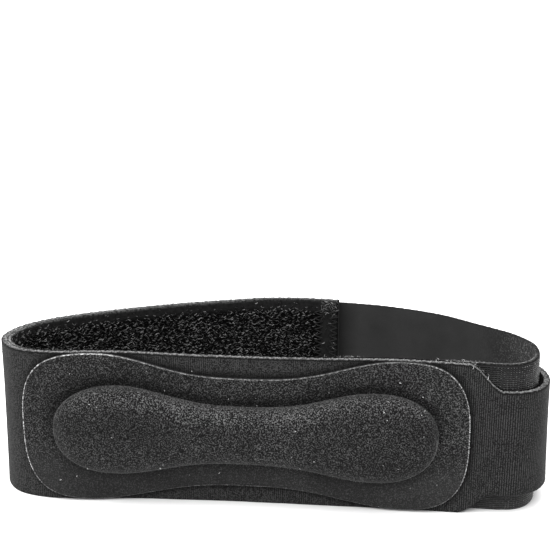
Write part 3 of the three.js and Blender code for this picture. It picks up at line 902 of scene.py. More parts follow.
def fibre_material(name, dark, light, edges, roughness, sheen, right=None):
    """Fibres whose shade is drawn from dark to light, mostly dark between the two edges. right is
    where a painted highlight on them starts and where it is full, as distances to the right."""
    material, tree, shader = new_material(name, roughness, sheen, 0.2)
    shade = add(tree, "ShaderNodeAttribute", attribute_name="shade").outputs["Fac"]
    drawn = add(tree, "ShaderNodeMapRange", (shade, *edges)).outputs[0]
    curve = add(tree, "ShaderNodeMath", (drawn, 1.8), operation="POWER").outputs[0]
    if right:
        place = add(tree, "ShaderNodeTexCoord").outputs["Object"]
        across = add(tree, "ShaderNodeSeparateXYZ", {0: place}).outputs["X"]
        shine = add(tree, "ShaderNodeMapRange", (across, *right, 0.1)).outputs[0]
        curve = add(tree, "ShaderNodeMath", (curve, shine), operation="MULTIPLY").outputs[0]
    mixed = add(tree, "ShaderNodeMix", {0: curve, 6: dark, 7: light}, data_type="RGBA").outputs[2]
    surface(tree, shader, mixed)
    return material


def tab_material(colours):
    # Smooth warp-knitted polyamide, calendered flat. It is plain and dull, with only the faintest
    # mottle and a very fine grain of 0.5 mm, coarser than the real stitches so that it shows. The
    # stretch round the right bend is handled most: its grain is raised and its fibres are rubbed
    # up. Painted shade darkens the cloth beside the seam.
    material, tree, shader = new_material("Calendered polyamide warp knit", 0.7, 0.03, 0.12)
    place = add(tree, "ShaderNodeTexCoord").outputs["Object"]
    run = add(tree, "ShaderNodeAttribute", attribute_name="run").outputs["Fac"]
    grain = add(tree, "ShaderNodeTexNoise", {"Vector": place, "Scale": 1900.0, "Detail": 2.0}).outputs[0]
    handled, fluffy, seam_shade = (0.352, 0.322), (0.344, 0.326), (0.3955, 0.4025)
    raised = add(tree, "ShaderNodeMapRange", (run, *handled, 0.3, 4.2)).outputs[0]
    centred = add(tree, "ShaderNodeMath", (grain, 0.5), operation="SUBTRACT").outputs[0]
    mottle = add(tree, "ShaderNodeTexNoise", {"Vector": place, "Scale": 70.0, "Detail": 3.0}).outputs[0]
    both = add(tree, "ShaderNodeMath", (centred, raised, mottle), operation="MULTIPLY_ADD").outputs[0]
    seam = add(tree, "ShaderNodeMapRange", (run, *seam_shade, 0.0, 0.45)).outputs[0]
    darker = add(tree, "ShaderNodeMath", (both, seam), operation="SUBTRACT").outputs[0]
    share = add(tree, "ShaderNodeMapRange", (darker, 0.2, 0.9)).outputs[0]
    dark, light = scaled(colours.tab, 0.7), scaled(colours.tab, 1.45)
    plain = add(tree, "ShaderNodeMix", {0: share, 6: dark, 7: light}, data_type="RGBA").outputs[2]
    rubbed = add(tree, "ShaderNodeMapRange", (run, *fluffy, 0.0, 0.6)).outputs[0]
    specks = add(tree, "ShaderNodeMapRange", (grain, 0.53, 0.68)).outputs[0]
    fluff = add(tree, "ShaderNodeMath", (specks, rubbed), operation="MULTIPLY").outputs[0]
    face = add(tree, "ShaderNodeMix", {0: fluff, 6: plain, 7: colours.fray}, data_type="RGBA").outputs[2]
    edge = cut_edge(tree, colours, face, colours.pile, colours.fray, 0.0005)
    surface(tree, shader, edge, 0.25, 0.00006, grain)
    return material


def tape_material(colours, details):
    # Woven hook tape. Its moulded rows of hooks run along the tape, 0.68 mm apart, painted as pale
    # lines, a painted highlight that grows where the tape bends towards the light.
    material, tree, shader = new_material("Woven polyamide hook tape", 0.6, 0.0, 0.18)
    height = add(tree, "ShaderNodeAttribute", attribute_name="height").outputs["Fac"]
    wave = row_wave(tree, height, details.hook_rows)
    place = add(tree, "ShaderNodeTexCoord").outputs["Object"]
    grain = add(tree, "ShaderNodeTexNoise", {"Vector": place, "Scale": 2200.0, "Detail": 1.0}).outputs[0]
    rows = add(tree, "ShaderNodeMath", (wave, 0.5, grain), operation="MULTIPLY_ADD").outputs[0]
    right_bend = (0.300, 0.324)
    run = add(tree, "ShaderNodeAttribute", attribute_name="run").outputs["Fac"]
    painted_bend_highlight = add(tree, "ShaderNodeMapRange", (run, *right_bend, 0.1, 0.9)).outputs[0]
    share = add(tree, "ShaderNodeMath", (rows, painted_bend_highlight), operation="MULTIPLY", use_clamp=True).outputs[0]
    face = add(
        tree, "ShaderNodeMix", {0: share, 6: colours.knit, 7: colours.hooks}, data_type="RGBA"
    ).outputs[2]
    edge = cut_edge(tree, colours, face, colours.pile, colours.foam, 0.0005)
    surface(tree, shader, edge, 0.5, 0.0002, wave)
    return material


def brushed_material(name, ground, nap, sheen, colours):
    """Brushed cloth: a dark ground under short fibres that show as fine specks. One mark says how far
    the nap stands up, and on the backing it also carries painted shade low down; one is painted
    light over the specks; and one is painted shade."""
    material, tree, shader = new_material(name, 0.95, sheen, 0.09)
    place = add(tree, "ShaderNodeTexCoord").outputs["Object"]
    specks = {"Vector": place, "Scale": 1 / NAP_GRAIN, "Detail": 1.0, "Roughness": 0.6}
    hair = add(tree, "ShaderNodeTexNoise", specks).outputs[0]
    tips = add(tree, "ShaderNodeMapRange", (hair, 0.49, 0.7)).outputs[0]
    raised = add(tree, "ShaderNodeAttribute", attribute_name="nap_open_and_shade").outputs["Fac"]
    flat = add(tree, "ShaderNodeMix", {0: raised, 2: 0.25, 3: tips}).outputs[0]
    patches = add(tree, "ShaderNodeTexNoise", {"Vector": place, "Scale": 90.0, "Detail": 2.0}).outputs[0]
    uneven = add(tree, "ShaderNodeMapRange", (patches, 0.3, 0.7, 0.75, 1.2)).outputs[0]
    # Painted light brightens or darkens the specks
    painted_light = add(tree, "ShaderNodeAttribute", attribute_name="painted_light").outputs["Fac"]
    bright = add(tree, "ShaderNodeMath", (painted_light, uneven), operation="MULTIPLY").outputs[0]
    shown = add(tree, "ShaderNodeMath", (flat, bright), operation="MULTIPLY", use_clamp=True).outputs[0]
    face = add(tree, "ShaderNodeMix", {0: shown, 6: ground, 7: nap}, data_type="RGBA").outputs[2]
    edge = cut_edge(tree, colours, face, colours.pile, colours.lint, NAP_GRAIN)
    surface(tree, shader, edge, 0.7, 0.0002, hair)
    return material


def shade_near(ring, distance, heights, reach):
    """1 on a dog-bone's outline, falling to nothing over that reach."""
    away = np.full(np.broadcast(distance, heights).shape, 1.0)
    for x, y in ring:
        away = np.minimum(away, np.hypot(distance - x, heights - y))
    return np.exp(-((away / reach) ** 2))


def panel_values(scene):
    """Where the layers run, and the sizes, details and colours that the panel shows."""
    return Layout(scene), scene.strap_sizes, scene.strap_details, scene.strap_colours


def band_stations(layout, step, tip_count):
    """Runs over the band's whole length, which crowd towards the tongue's tip."""
    end_length = layout.sizes.tongue_end
    wide = even_runs(0, layout.band_end - end_length, step)
    return np.concatenate([wide[:-1], end_runs(layout.band_end, 1, end_length, tip_count)])


class BandOperator(bpy.types.Operator):
    """Makes the rib knit band with its tongue"""

    bl_idname = "strap.knit_band"
    bl_label = "Knit band"

    def execute(self, context):
        layout, s, details, colours = panel_values(context.scene)
        stations = band_stations(layout, details.rib_pitch / 2, 60)
        offset = layout.band_offset(stations)
        low, high = layout.band_edges(stations)
        bond = 0.00006
        inner = offset - layout.band / 2 + s.pile + bond
        outer = offset + layout.band / 2
        section = wall_section(
            0.0002, 0.0003, rows=24, rim_points=7, arc_steps=2, back_rows=1, pale=(1, 0), sharp=0.3
        )
        runs, offsets, heights, marks = wall_points(
            layout, stations, inner, outer, low, high, section, details.ripple
        )
        # Painted shade: a dark line just under the upper rim, painted shadow beside the backing, dark ends
        ring, _ = layout.bone_outline(layout.backing_bone, 0.0015)
        beside = marks["face"] * shade_near(ring, runs - layout.pad_run, heights, 0.0014)
        marks["painted_shade"] = np.maximum(0.95 * under_rim(heights, marks, 0.00025), 0.85 * beside)
        marks["painted_shade"][[0, -1]] = 1
        mesh = grid_mesh("knit_face", layout.placed(runs, offsets, heights), True, marks)
        values = {
            "Pitch": details.rib_pitch,
            "Depth": details.rib_depth,
            "Cluster": 0.006,
            "Material": knit_material(colours, details),
        }
        band = grown("knit_face", new_object("knit_base", mesh), rib_tree(), values)
        settle(band, "ribbed_knit", "knit_band")
        return {"FINISHED"}


class PileOperator(bpy.types.Operator):
    """Makes the loop pile lining: its ground cloth and its loops"""

    bl_idname = "strap.pile_lining"
    bl_label = "Pile lining"

    def execute(self, context):
        layout, s, details, colours = panel_values(context.scene)
        runs = band_stations(layout, 0.0007, 26)
        offset = layout.band_offset(runs)
        low, high = layout.band_edges(runs)
        inner = -layout.band / 2
        section = wall_section(
            0.0003, 0.0001, rows=2, rim_points=4, arc_steps=1, back_rows=22, pale=(0.4, 0.4), sharp=0
        )
        back, left_bend, front = (0.01, 0.05), (0.106, 0.124), (0.133, 0.146)
        worn = 0.3 + 0.3 * ease(runs, *back) + 0.5 * ease(runs, *left_bend)
        worn = worn * (1 - ease(runs, *front))
        wall = (runs, offset + inner, offset + inner + s.pile, low, high)
        mesh = wall_mesh(layout, "loop_pile", worn, 0 * runs, wall, section, details.ripple)
        mesh.materials.append(pile_material(colours, details, s.band_height))
        ground = settle(new_object("loop_pile", mesh), "loop_pile", "pile_lining")
        parts = [*self.loops(layout, details, colours), self.pressed(layout, details, colours)]
        for part in parts:
            settle(part, "loop_pile")
        return {"FINISHED"}

    def loops(self, layout, details, colours):
        """The standing loops in three stretches, sparse where the front wall hides them. They stop
        under the plain selvage, which is narrower round the left bend."""
        thread = fibre_material(
            "Textured polyamide pile loops", colours.pile, colours.loops, (0.3, 1.0), 0.6, 0.06
        )
        first = details.pressed + 0.0012
        stretches = (
            ("pile_loops_seam", first, 0.075, 2.4e6),
            ("pile_loops_bend", 0.075, 0.138, 2.4e6),
            ("pile_loops_front", 0.138, layout.tab_tip + 0.012, 0.36e6),
        )
        bend = strand(details.loop, 3.3, False)
        left_bend = (0.08, 0.118)
        for name, start, end, density in stretches:
            runs = even_runs(start, end, 0.002)[:, None]
            low, high = layout.band_edges(runs)
            heights = low + 0.0006 + (high - low - 0.0014) * np.linspace(0, 1, 40)[None, :]
            plain = details.plain * (1 - 0.6 * ease(runs, *left_bend))
            growth = np.clip((high - plain - heights) / 0.001, 0.06, 1)
            if start == first:
                growth = growth * np.clip((runs - start) / 0.003, 0.2, 1)
            offsets = 0.0001 - layout.band / 2 + 0 * heights
            patch = field(layout, runs, offsets, heights, -layout.outward(runs), growth)
            yield fibres(
                name,
                [patch],
                thread,
                bend,
                density=density,
                thickness=details.loop_thread,
                lean=0.4,
                spin=0.9,
                seed=details.seed,
                sizes=(0.5, 1.0),
            )

    def pressed(self, layout, details, colours):
        """The loops that the seam presses flat, which show near the upper edge alone."""
        material = fibre_material(
            "Pressed pile of the seam", colours.pile, colours.loops, (0.0, 0.9), 0.8, 0.06
        )
        runs = even_runs(0.0002, details.pressed, 0.0006)[:, None]
        top = layout.sizes.band_height + layout.sizes.seam_rise
        heights = np.linspace(0.0006, top, 60)[None, :]
        growth = 0.02 + 1.1 * ease(heights, 0.0435, 0.0495) + 0 * runs
        offsets = 0 * heights - layout.band / 2
        patch = field(layout, runs, offsets, heights, -layout.outward(runs), growth)
        return fibres(
            "pile_pressed",
            [patch],
            material,
            strand(0.0012, 1.6, False),
            density=2.6e6,
            thickness=0.0002,
            lean=0.35,
            spin=1.5,
            seed=details.seed + 3,
        )


def tab_wall(layout, name, tip, end, margin, inner, outer, section, uneven):
    """A layer of the tab between two runs and two offsets: its mesh and its area. In front its rim
    is pale over a line of painted shade."""
    round_end = layout.sizes.tab_end
    straight = even_runs(tip + round_end, end, 0.0008)[1:]
    runs = np.concatenate([end_runs(tip, -1, round_end), straight])
    offset = layout.tab_offset(runs)
    low, high = layout.tab_edges(runs, margin)
    paler, shadier = (0.304, 0.316), (0.318, 0.334)
    worn = 1 - ease(runs, *paler)
    shaded = 1 - ease(runs, *shadier)
    wall = (runs, offset + inner, offset + outer, low, high)
    mesh = wall_mesh(layout, name, worn, shaded, wall, section, uneven)
    return mesh, float(np.trapz(high - low, runs))


class TabOperator(bpy.types.Operator):
    """Makes the smooth fastening tab and its hook tape"""

    bl_idname = "strap.fastening_tab"
    bl_label = "Fastening tab"

    def execute(self, context):
        layout, s, details, colours = panel_values(context.scene)
        inner, outer = -layout.whole_tab / 2, layout.whole_tab / 2
        section = wall_section(
            0.00015, 0.00008, rows=8, rim_points=4, arc_steps=2, pale=(0.8, 0.1), sharp=0.8
        )
        tip, end = layout.tab_tip, layout.tab_end
        top = inner + s.tab + 0.00024
        ripples = details.ripple * 0.6
        mesh, area = tab_wall(layout, "smooth_tab", tip, end, 0.0, inner, top, section, ripples)
        mesh.materials.append(tab_material(colours))
        tab = settle(new_object("smooth_tab", mesh), "smooth_fabric", "fastening_tab")

        margin = s.hook_edge_margin
        section = wall_section(0.0001, 0.0001, rows=8, rim_points=4, arc_steps=2, pale=(0, 0))
        tip, end = layout.tab_tip + margin, layout.length - s.hook_seam_margin
        top = outer - 0.0003
        ripples = details.ripple * 0.5
        foot = outer - s.hooks
        mesh, area = tab_wall(layout, "hook_field", tip, end, margin, foot, top, section, ripples)
        mesh.materials.append(tape_material(colours, details))
        tape = settle(new_object("hook_field", mesh), "hook_tape", "hook_tape")
        row = np.arange(int(s.band_height / details.hook_rows))[None, :]
        runs = even_runs(tip + 0.0008, end - 0.0006, details.hook_pitch)[:, None] + 0 * row
        low, high = layout.tab_edges(runs, margin + 0.0006)
        heights = np.clip(row * details.hook_rows + margin + 0.0008 + 0 * runs, low, high)
        offsets = layout.tab_offset(runs) + top + 0 * heights
        patch = field(layout, runs, offsets, heights, layout.outward(runs))
        # The hooks get a painted highlight that grows towards the right bend
        right_bend = (0.066, 0.085)
        moulded = fibre_material(
            "Moulded polyamide hooks", colours.knit, colours.hooks, (-0.2, 0.9), 0.4, 0.0, right_bend
        )
        hooks = fibres(
            "hooks",
            [patch],
            moulded,
            strand(0.0006, 2.2, True),
            density=0.0,
            thickness=0.0002,
            lean=0.25,
            spin=0.3,
            seed=details.seed,
            sizes=(0.7, 1.0),
            steps=3,
            on_points=True,
        )
        settle(hooks, "hook_tape")
        return {"FINISHED"}


def backing_shine(distance, height):
    """How bright the backing's heat-cut edge is, its pale rim partly and a painted highlight partly:
    most at both ends and on the left lobe's shoulder, brighter higher up and to the left, and
    little along its foot."""
    ends = ease(np.abs(distance), 0.050, 0.066) * (1 - 0.35 * ease(height, 0.035, 0.043))
    shoulder = np.exp(-(((distance + 0.049) / 0.008) ** 2)) * ease(height, 0.04, 0.047)
    raised = 0.2 + 0.8 * ease(height, 0.003, 0.016)
    leftward = 1.15 - 0.3 * ease(distance, -0.06, 0.06)
    return (0.3 + 0.5 * ends + 0.7 * shoulder) * raised * leftward


def bead_mesh(layout, radius):
    """The thin bead that heat cutting leaves all round the backing's outer corner. It is uneven, and
    its painted highlight is broken."""
    step = 0.0004
    ring, side = layout.bone_outline(layout.backing_bone, step)
    turn = np.linspace(0, 2 * np.pi, 7)[None, :-1]
    place = np.arange(len(ring))
    beaded = radius * (1 + ripple(place * step, 0.35, 2.3))[:, None]
    sunk = radius * 0.4
    reach = beaded * np.cos(turn) - sunk
    top = layout.backing_inner + layout.sizes.gap + layout.sizes.backing
    offsets = top + beaded * np.sin(turn) - sunk
    runs = layout.pad_run + ring[:, :1] + side[:, :1] * reach
    heights = ring[:, 1:] + side[:, 1:] * reach
    broken = 0.9 + ripple(place * 0.0009, 0.55, 4.7)[:, None]
    shine = np.clip(backing_shine(ring[:, :1], ring[:, 1:]) * broken, 0, 1.1)
    marks = {"cut": 1.0, "fray": shine + 0 * heights}
    return grid_mesh("backing_bead", layout.placed(runs, offsets, heights), True, marks)


def bead_material(colours):
    # The melted rim of a heat-cut polyester tricot, a hard thread about 0.3 mm thick with a painted
    # highlight in some places and dark fluff over it in others.
    material, tree, shader = new_material("Heat-sealed tricot rim", 0.55, 0.0, 0.3)
    surface(tree, shader, cut_edge(tree, colours, colours.backing, colours.backing, colours.lint, 0.0007))
    return material


class BackingOperator(bpy.types.Operator):
    """Makes the brushed dog-bone backing under the pad"""

    bl_idname = "strap.pad_backing"
    bl_label = "Pad backing"

    def execute(self, context):
        layout, s, details, colours = panel_values(context.scene)
        bone = layout.backing_bone
        turn = np.linspace(0.035, np.pi - 0.035, 360)
        distance = -np.cos(turn) * bone["length"] / 2
        low, high = layout.bone_edges(distance, bone)
        section = wall_section(0.0001, 0.00028, rows=60, rim_points=3, sharp=30)
        inner = layout.backing_inner + TUCK
        outer = layout.backing_inner + s.gap + s.backing
        stations = layout.pad_run + distance
        runs, offsets, heights, marks = wall_points(
            layout, stations, inner, outer, low, high, section, details.ripple * 0.4
        )
        distance = distance[:, None]
        # Painted shade round the pad, darker above it
        ring, _ = layout.bone_outline(layout.pad_bone, 0.0012)
        near = shade_near(ring, distance, heights, 0.0032) * marks["face"]
        above = ease(heights, s.band_height * 0.45, s.band_height * 0.72)
        marks["painted_shade"] = near * (0.15 + 0.4 * above)
        offsets = offsets - 0.0004 * shade_near(ring, distance, heights, 0.0014) * marks["face"]
        # Painted shade: flatter specks low down, under the pad. Painted light: darker low, lighter to the
        # right
        marks["nap_open_and_shade"] = 0.4 + 0.6 * ease(heights, 0.008, 0.024)
        marks["painted_light"] = (0.9 + 0.1 * ease(heights, 0.01, 0.03)) * (1 + 0.24 * ease(distance, 0.03, 0.06))
        # The heat-cut rim carries the painted highlight
        marks["fray"] = marks["fray"] * backing_shine(distance, heights)
        mesh = grid_mesh("brushed_backing", layout.placed(runs, offsets, heights), True, marks)
        cloth = "Brushed polyester tricot"
        nap = colours.backing_nap
        mesh.materials.append(brushed_material(cloth, colours.backing, nap, 0.03, colours))
        backing = settle(new_object("brushed_backing", mesh), "brushed_fabric", "pad_backing")
        bead = new_object("backing_bead", bead_mesh(layout, details.bead))
        bead.data.materials.append(bead_material(colours))
        settle(bead, "brushed_fabric")
        return {"FINISHED"}


class PadOperator(bpy.types.Operator):
    """Makes the moulded dog-bone pad"""

    bl_idname = "strap.bone_pad"
    bl_label = "Bone pad"

    def execute(self, context):
        layout, _, _, colours = panel_values(context.scene)
        mesh = grid_mesh("moulded_pad", *pad_points(layout, 240, 60))
        cloth = "Brushed polyester over moulded foam"
        mesh.materials.append(brushed_material(cloth, colours.pad, colours.nap, 0.06, colours))
        pad = settle(new_object("moulded_pad", mesh), "pad_fabric", "bone_pad")
        return {"FINISHED"}


def pad_points(layout, stations, around):
    """The pad's crowned sections, each flat where it lies on the backing, as a closed mesh and its
    marks. Painted light is most where the pad faces up and at its neck, and a pale painted sheen
    line runs along the foot, where the nap is flatter."""
    s, bone = layout.sizes, layout.pad_bone
    turn = np.linspace(0.03, np.pi - 0.03, stations)
    distance = (-np.cos(turn) * bone["length"] / 2)[:, None]
    low, high = layout.bone_edges(distance, bone)
    share = layout.lobe_share(distance, bone["lobes"])
    crown = lerp(s.pad_neck, s.pad, share) * np.sqrt(1 - np.abs(2 * distance / bone["length"]) ** 6)
    angle = np.linspace(0, np.pi, around)[None, :]
    roundness = 0.72
    across = -np.sign(np.cos(angle)) * np.abs(np.cos(angle)) ** roundness
    rise = np.clip(np.sin(angle), 0, 1) ** roundness
    offsets = layout.pad_inner + TUCK + (crown + s.gap) * rise
    tuck = 1 - 0.035 * (1 - rise) ** 3
    heights = (low + high) / 2 + (high - low) / 2 * across * tuck
    points = layout.placed(layout.pad_run + distance, offsets, heights)
    facing = np.cross(np.gradient(points, axis=0), np.gradient(points, axis=1))
    facing = facing / np.maximum(np.linalg.norm(facing, axis=-1, keepdims=True), 1e-12)
    upward = facing[..., 2] * np.sign(facing[stations // 2, around * 3 // 4, 2])
    steep = np.abs(np.sum(facing * layout.outward(layout.pad_run + distance), axis=-1))
    foot = (1 - ease(steep, 0.38, 0.6)) * ease(-across, -0.3, 0.3)
    marks = {
        "cut": 0 * heights,
        # The fray mark here is a painted sheen along the foot
        "fray": 0.16 * foot,
        "painted_shade": 0 * heights,
        "nap_open_and_shade": 1 - 0.5 * foot,
        # Painted light, most where the pad faces up
        "painted_light": (0.62 + 0.78 * ease(upward, 0.1, 0.8)) * (1.2 - 0.22 * share),
    }
    return points, True, marks


class FrayOperator(bpy.types.Operator):
    """Makes the fibres that stand out of the cut edges"""

    bl_idname = "strap.fray"
    bl_label = "Frayed edges"

    def execute(self, context):
        layout, s, details, colours = panel_values(context.scene)
        strips = self.strips(layout)
        ends = fibre_material("Cut polyamide fibre ends", colours.foam, colours.fray, (0.0, 0.8), 0.8, 0.12)
        fringe = fibres(
            "edge_fray",
            strips,
            ends,
            strand(details.fray, 1.5, True),
            density=1.5e7,
            thickness=0.00011,
            lean=0.7,
            spin=ANY_WAY,
            seed=details.seed + 11,
            sizes=(0.4, 1.1),
        )
        settle(fringe, "ribbed_knit")

        upper = [strip for strip in strips if "loose" in strip]
        for strip in upper:
            strip["growth"] = strip["loose"]
        drawn = fibre_material("Drawn polyamide threads", colours.fray, colours.lint, (0.0, 1.0), 0.7, 0.06)
        threads = fibres(
            "loose_threads",
            upper,
            drawn,
            strand(0.0013, 2.8, True),
            density=3e6,
            thickness=0.00013,
            lean=1.4,
            spin=ANY_WAY,
            seed=details.seed + 13,
            sizes=(0.3, 1.1),
            steps=8,
        )
        settle(threads, "ribbed_knit")

        ring, side = layout.bone_outline(layout.backing_bone, 0.0012)
        inward = np.array([[-0.0003, 0.0]])
        heights = ring[:, 1:] + side[:, 1:] * inward
        runs = layout.pad_run + ring[:, :1] + side[:, :1] * inward
        sideways = layout.onward(runs) * side[:, None, :1] + UP * side[:, None, 1:]
        outward = sideways * 0.7 + layout.outward(runs)
        offsets = layout.backing_inner + s.gap + s.backing - 0.0001 + 0 * heights
        # The edge's pale fibres grow thickest where its painted highlight is
        patch = field(layout, runs, offsets, heights, outward, backing_shine(ring[:, :1], heights))
        bright = fibre_material("Heat-cut tricot edge", colours.nap, colours.lint, (0.2, 1.0), 0.6, 0.06)
        rim = fibres(
            "backing_edge",
            [patch],
            bright,
            strand(0.00035, 1.2, True),
            density=2.4e7,
            thickness=0.00011,
            lean=0.6,
            spin=ANY_WAY,
            seed=details.seed + 17,
            sizes=(0.5, 1.0),
        )
        settle(rim, "brushed_fabric")
        return {"FINISHED"}

    def strips(self, layout):
        """Narrow fields along the edges. Those of the upper edges also say where threads are loose."""
        half = layout.band / 2
        runs = even_runs(0.0004, layout.band_end - 0.004, 0.0015)[:, None]
        low, high = layout.band_edges(runs)
        across = layout.band_offset(runs)
        out = layout.outward(runs)
        loose = layout.tangle(runs)
        worn = 0.3 * layout.wear(runs) ** 2 + loose
        hidden = 0.12 * (low > 0.004)
        edges = (
            (high, half - 0.0004, UP + 0.35 * out, worn, loose),
            (high, 0.0003 - half, UP - 0.35 * out, loose, loose),
            (low, half - 0.0004, 0.35 * out - UP, hidden, None),
        )
        strips = []
        for edge, place, outward, growth, threads in edges:
            offsets = across + place + np.array([[-0.00018, 0.00018]])
            strip = field(layout, runs, offsets, edge + 0 * offsets, outward, growth + 0 * offsets)
            if threads is not None:
                strip["loose"] = threads + 0 * offsets
            strips.append(strip)
        behind_bend = 0.338
        runs = even_runs(layout.tab_tip + 0.004, behind_bend, 0.0015)[:, None]
        _, high = layout.tab_edges(runs, 0.0)
        outward = UP - 0.3 * layout.outward(runs)
        offsets = layout.tab_offset(runs) - layout.whole_tab / 2 + np.array([[0.0001, 0.0003]])
        loose = layout.tangle(runs) + 0 * offsets
        growth = 0.15 * layout.wear(runs) + loose
        strip = field(layout, runs, offsets, high + 0 * offsets, outward, growth)
        strips.append({**strip, "loose": loose})
        return strips


class NapOperator(bpy.types.Operator):
    """Makes the brushed fibres on the pad, the backing and the knit"""

    bl_idname = "strap.nap"
    bl_label = "Brushed nap"

    def execute(self, context):
        layout, s, details, colours = panel_values(context.scene)
        nap = fibre_material("Brushed polyester nap", colours.backing, colours.nap, (0.2, 1.0), 0.85, 0.06)
        points, _, _ = pad_points(layout, 120, 50)
        points = points[:, 1:-1]
        along = np.gradient(points, axis=0)
        outward = np.cross(along, np.gradient(points, axis=1))
        along, outward = (way / np.linalg.norm(way, axis=-1, keepdims=True) for way in (along, outward))
        middle = outward[points.shape[0] // 2, points.shape[1] // 2]
        if middle[1] > 0:
            outward = -outward
        pad = {"points": points, "outward": outward, "along": along, "growth": 1.0}

        bone = layout.backing_bone
        distance = np.linspace(-0.499, 0.499, 90)[:, None] * bone["length"]
        low, high = layout.bone_edges(distance, bone)
        heights = low + (high - low) * np.linspace(0.01, 0.99, 36)[None, :]
        runs = layout.pad_run + distance
        offsets = layout.backing_inner + s.gap + s.backing + 0 * heights
        backing = field(layout, runs, offsets, heights, layout.outward(runs))

        runs = even_runs(0.06, layout.band_end - 0.004, 0.002)[:, None]
        low, high = layout.band_edges(runs)
        heights = low + (high - low) * np.linspace(0.02, 0.98, 26)[None, :]
        offsets = layout.band_offset(runs) + layout.band / 2 - 0.00005 + 0 * heights
        knit = field(layout, runs, offsets, heights, layout.outward(runs))

        # Piece, its finish, the field, sweep, density, thickness, lean, seed and sizes
        tufts = (
            ("pad_nap", "pad_fabric", pad, 1.4, 0.8e6, 0.00012, 0.9, 23, (0.4, 1.1)),
            ("backing_nap", "brushed_fabric", backing, 1.4, 0.38e6, 0.00011, 1.0, 29, (0.3, 0.9)),
            ("knit_fluff", "ribbed_knit", knit, 1.8, 0.08e6, 0.0001, 1.1, 31, (0.3, 1.0)),
        )
        for name, slot, patch, sweep, density, thickness, lean, seed, sizes in tufts:
            bend = strand(details.nap, sweep, True)
            seed = details.seed + seed
            settle(fibres(name, [patch], nap, bend, density, thickness, lean, ANY_WAY, seed, sizes), slot)
        return {"FINISHED"}


class SeamOperator(bpy.types.Operator):
    """Makes the two zigzag seams that hold the tab to the band"""

    bl_idname = "strap.seam"
    bl_label = "Seam stitches"

    def execute(self, context):
        layout, s, details, colours = panel_values(context.scene)
        step = details.stitch_pitch / 2
        heights = np.arange(0.0018, s.band_height - 0.003, step)[None, :]
        tilt = math.atan2(step, details.stitch_width)
        size = math.hypot(step, details.stitch_width)
        lean = np.where(np.arange(heights.shape[1]) % 2 == 0, tilt, -tilt)[None, :, None]
        fields = []
        for run in (layout.tab_end - 0.0022, layout.tab_end - 0.0075):
            runs = np.array([[run], [run + 1e-6]])
            along = layout.onward(runs) * np.cos(lean) + UP * np.sin(lean)
            out = layout.outward(runs)
            on_tab = layout.tab_offset(runs) - layout.whole_tab / 2 + s.tab + 0.00024
            fields.append(field(layout, runs, on_tab + 0 * heights, heights, out, along=along))
            runs = runs - layout.length
            in_loop = 0 * heights - layout.band / 2
            fields.append(field(layout, runs, in_loop, heights, -layout.outward(runs), along=along))
        thread = fibre_material(
            "Polyester sewing thread", colours.thread, colours.selvage, (0.2, 1.3), 0.55, 0.06
        )
        stitches = fibres(
            "seam_stitches",
            fields,
            thread,
            strand(size * 1.04, 0.7, False),
            density=0.0,
            thickness=0.00038,
            lean=0.03,
            spin=0.05,
            seed=details.seed,
            sizes=(0.97, 1.03),
            steps=6,
            on_points=True,
        )
        settle(stitches, "smooth_fabric")
        return {"FINISHED"}


class LintOperator(bpy.types.Operator):
    """Makes the few loose fibres and specks that cling to the cloth"""

    bl_idname = "strap.lint"
    bl_label = "Lint"

    def execute(self, context):
        layout, s, details, colours = panel_values(context.scene)
        material = fibre_material("Loose cotton lint", colours.nap, colours.lint, (0.0, 0.7), 0.7, 0.06)
        points, _, _ = pad_points(layout, 60, 40)
        points = points[:, 2:-2]
        runs = layout.pad_run + np.linspace(-0.055, 0.055, 60)
        pad = {
            "points": points,
            "outward": np.broadcast_to(layout.outward(runs)[:, None, :], points.shape),
            "along": np.broadcast_to(layout.onward(runs)[:, None, :], points.shape),
            "growth": 1.0,
        }
        runs = even_runs(layout.pad_run - 0.066, layout.pad_run + 0.066, 0.004)[:, None]
        heights = np.linspace(0.006, 0.046, 12)[None, :]
        offsets = layout.backing_inner + s.gap + s.backing + 0 * heights
        backing = field(layout, runs, offsets, heights, layout.outward(runs))
        specks = fibres(
            "lint",
            [pad, backing],
            material,
            strand(0.0006, 2.4, True),
            density=0.012e6,
            thickness=0.0002,
            lean=1.2,
            spin=ANY_WAY,
            seed=details.seed + 41,
            sizes=(0.4, 1.3),
            steps=5,
        )
        settle(specks, "pad_fabric")
        return {"FINISHED"}


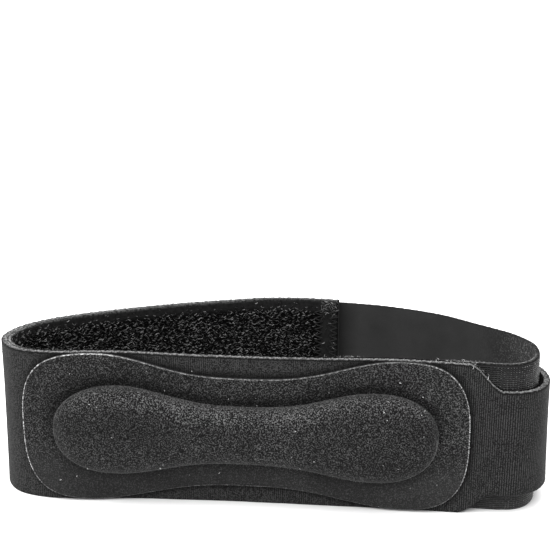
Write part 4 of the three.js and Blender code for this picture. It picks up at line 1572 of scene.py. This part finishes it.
class StageOperator(bpy.types.Operator):
    """Makes the floor, the soft light and the camera"""

    bl_idname = "strap.stage"
    bl_label = "Stage"

    def execute(self, context):
        scene = context.scene
        reach, depth = 9.0, -0.00005
        corners = [(x * reach, y * reach, depth) for x, y in ((-1, -1), (1, -1), (1, 1), (-1, 1))]
        mesh = bpy.data.meshes.new("floor")
        mesh.from_pydata(corners, [], [(0, 1, 2, 3)])
        board, tree, shader = new_material("Matt white studio board", 0.9, 0.0, 0.2)
        place = add(tree, "ShaderNodeTexCoord").outputs["Object"]
        tone = add(tree, "ShaderNodeTexNoise", {"Vector": place, "Scale": 3.0}).outputs[0]
        white = scene.strap_colours.floor
        shade = scaled(white, 0.99)
        mixed = add(tree, "ShaderNodeMix", {0: tone, 6: shade, 7: white}, data_type="RGBA").outputs[2]
        surface(tree, shader, mixed)
        mesh.materials.append(board)
        new_object("floor", mesh)

        world = bpy.data.worlds.new("Soft white room")
        world.use_nodes = True
        tree = world.node_tree
        backdrop = tree.nodes["Background"]
        backdrop.inputs["Color"].default_value = (1.0, 1.0, 1.0, 1.0)
        seen = add(tree, "ShaderNodeLightPath").outputs["Is Camera Ray"]
        lights_with, looks = 1.05, 1.0
        bright = add(tree, "ShaderNodeMapRange", (seen, 0.0, 1.0, lights_with, looks)).outputs[0]
        tree.links.new(bright, backdrop.inputs["Strength"])
        scene.world = world
        light = bpy.data.lights.new("overhead_light", "SUN")
        light.angle = math.radians(80)
        light.energy = 5.1
        lamp = new_object("overhead_light", light)
        lamp.location = (-0.35, -0.55, 1.6)
        lamp.rotation_euler = (-lamp.location).to_track_quat("-Z", "Y").to_euler()
        lens = bpy.data.cameras.new("camera")
        lens.lens = 92.12
        lens.sensor_width = 36.0
        pixels_up, picture_width = 125, 560
        lens.shift_y = pixels_up / picture_width
        lens.clip_start = 0.05
        lens.clip_end = 40.0
        camera = new_object("camera", lens)
        camera.location = (0.00234, -0.44776, 0.20481)
        looks_down = math.radians(22)
        camera.rotation_euler = (math.pi / 2 - looks_down, 0.0, 0.0)
        scene.camera = camera
        scene.view_settings.view_transform = "Standard"
        return {"FINISHED"}


OPERATORS = (
    BandOperator,
    PileOperator,
    TabOperator,
    BackingOperator,
    PadOperator,
    FrayOperator,
    NapOperator,
    SeamOperator,
    LintOperator,
    StageOperator,
)


class StrapPanel(bpy.types.Panel):
    """Lists the strap's pieces, sizes and colours"""

    bl_idname = "VIEW3D_PT_strap"
    bl_label = "Patella strap"
    bl_space_type = "VIEW_3D"
    bl_region_type = "UI"
    bl_category = "Strap"

    def draw(self, context):
        for operator in OPERATORS:
            self.layout.operator(operator.bl_idname)
        for group in (context.scene.strap_sizes, context.scene.strap_details, context.scene.strap_colours):
            box = self.layout.box()
            for key in group.__annotations__:
                box.prop(group, key)


CLASSES = (StrapSizes, StrapDetails, StrapColours, *OPERATORS, StrapPanel)
GROUPS = {"strap_sizes": StrapSizes, "strap_details": StrapDetails, "strap_colours": StrapColours}


def register():
    for kind in CLASSES:
        bpy.utils.register_class(kind)
    for name, group in GROUPS.items():
        setattr(bpy.types.Scene, name, PointerProperty(type=group))


def unregister():
    for name in GROUPS:
        delattr(bpy.types.Scene, name)
    for kind in reversed(CLASSES):
        bpy.utils.unregister_class(kind)


def main():
    register()
    for operator in OPERATORS:
        group, name = operator.bl_idname.split(".")
        getattr(getattr(bpy.ops, group), name)()
    bpy.context.view_layer.update()


if __name__ == "__main__":
    main()
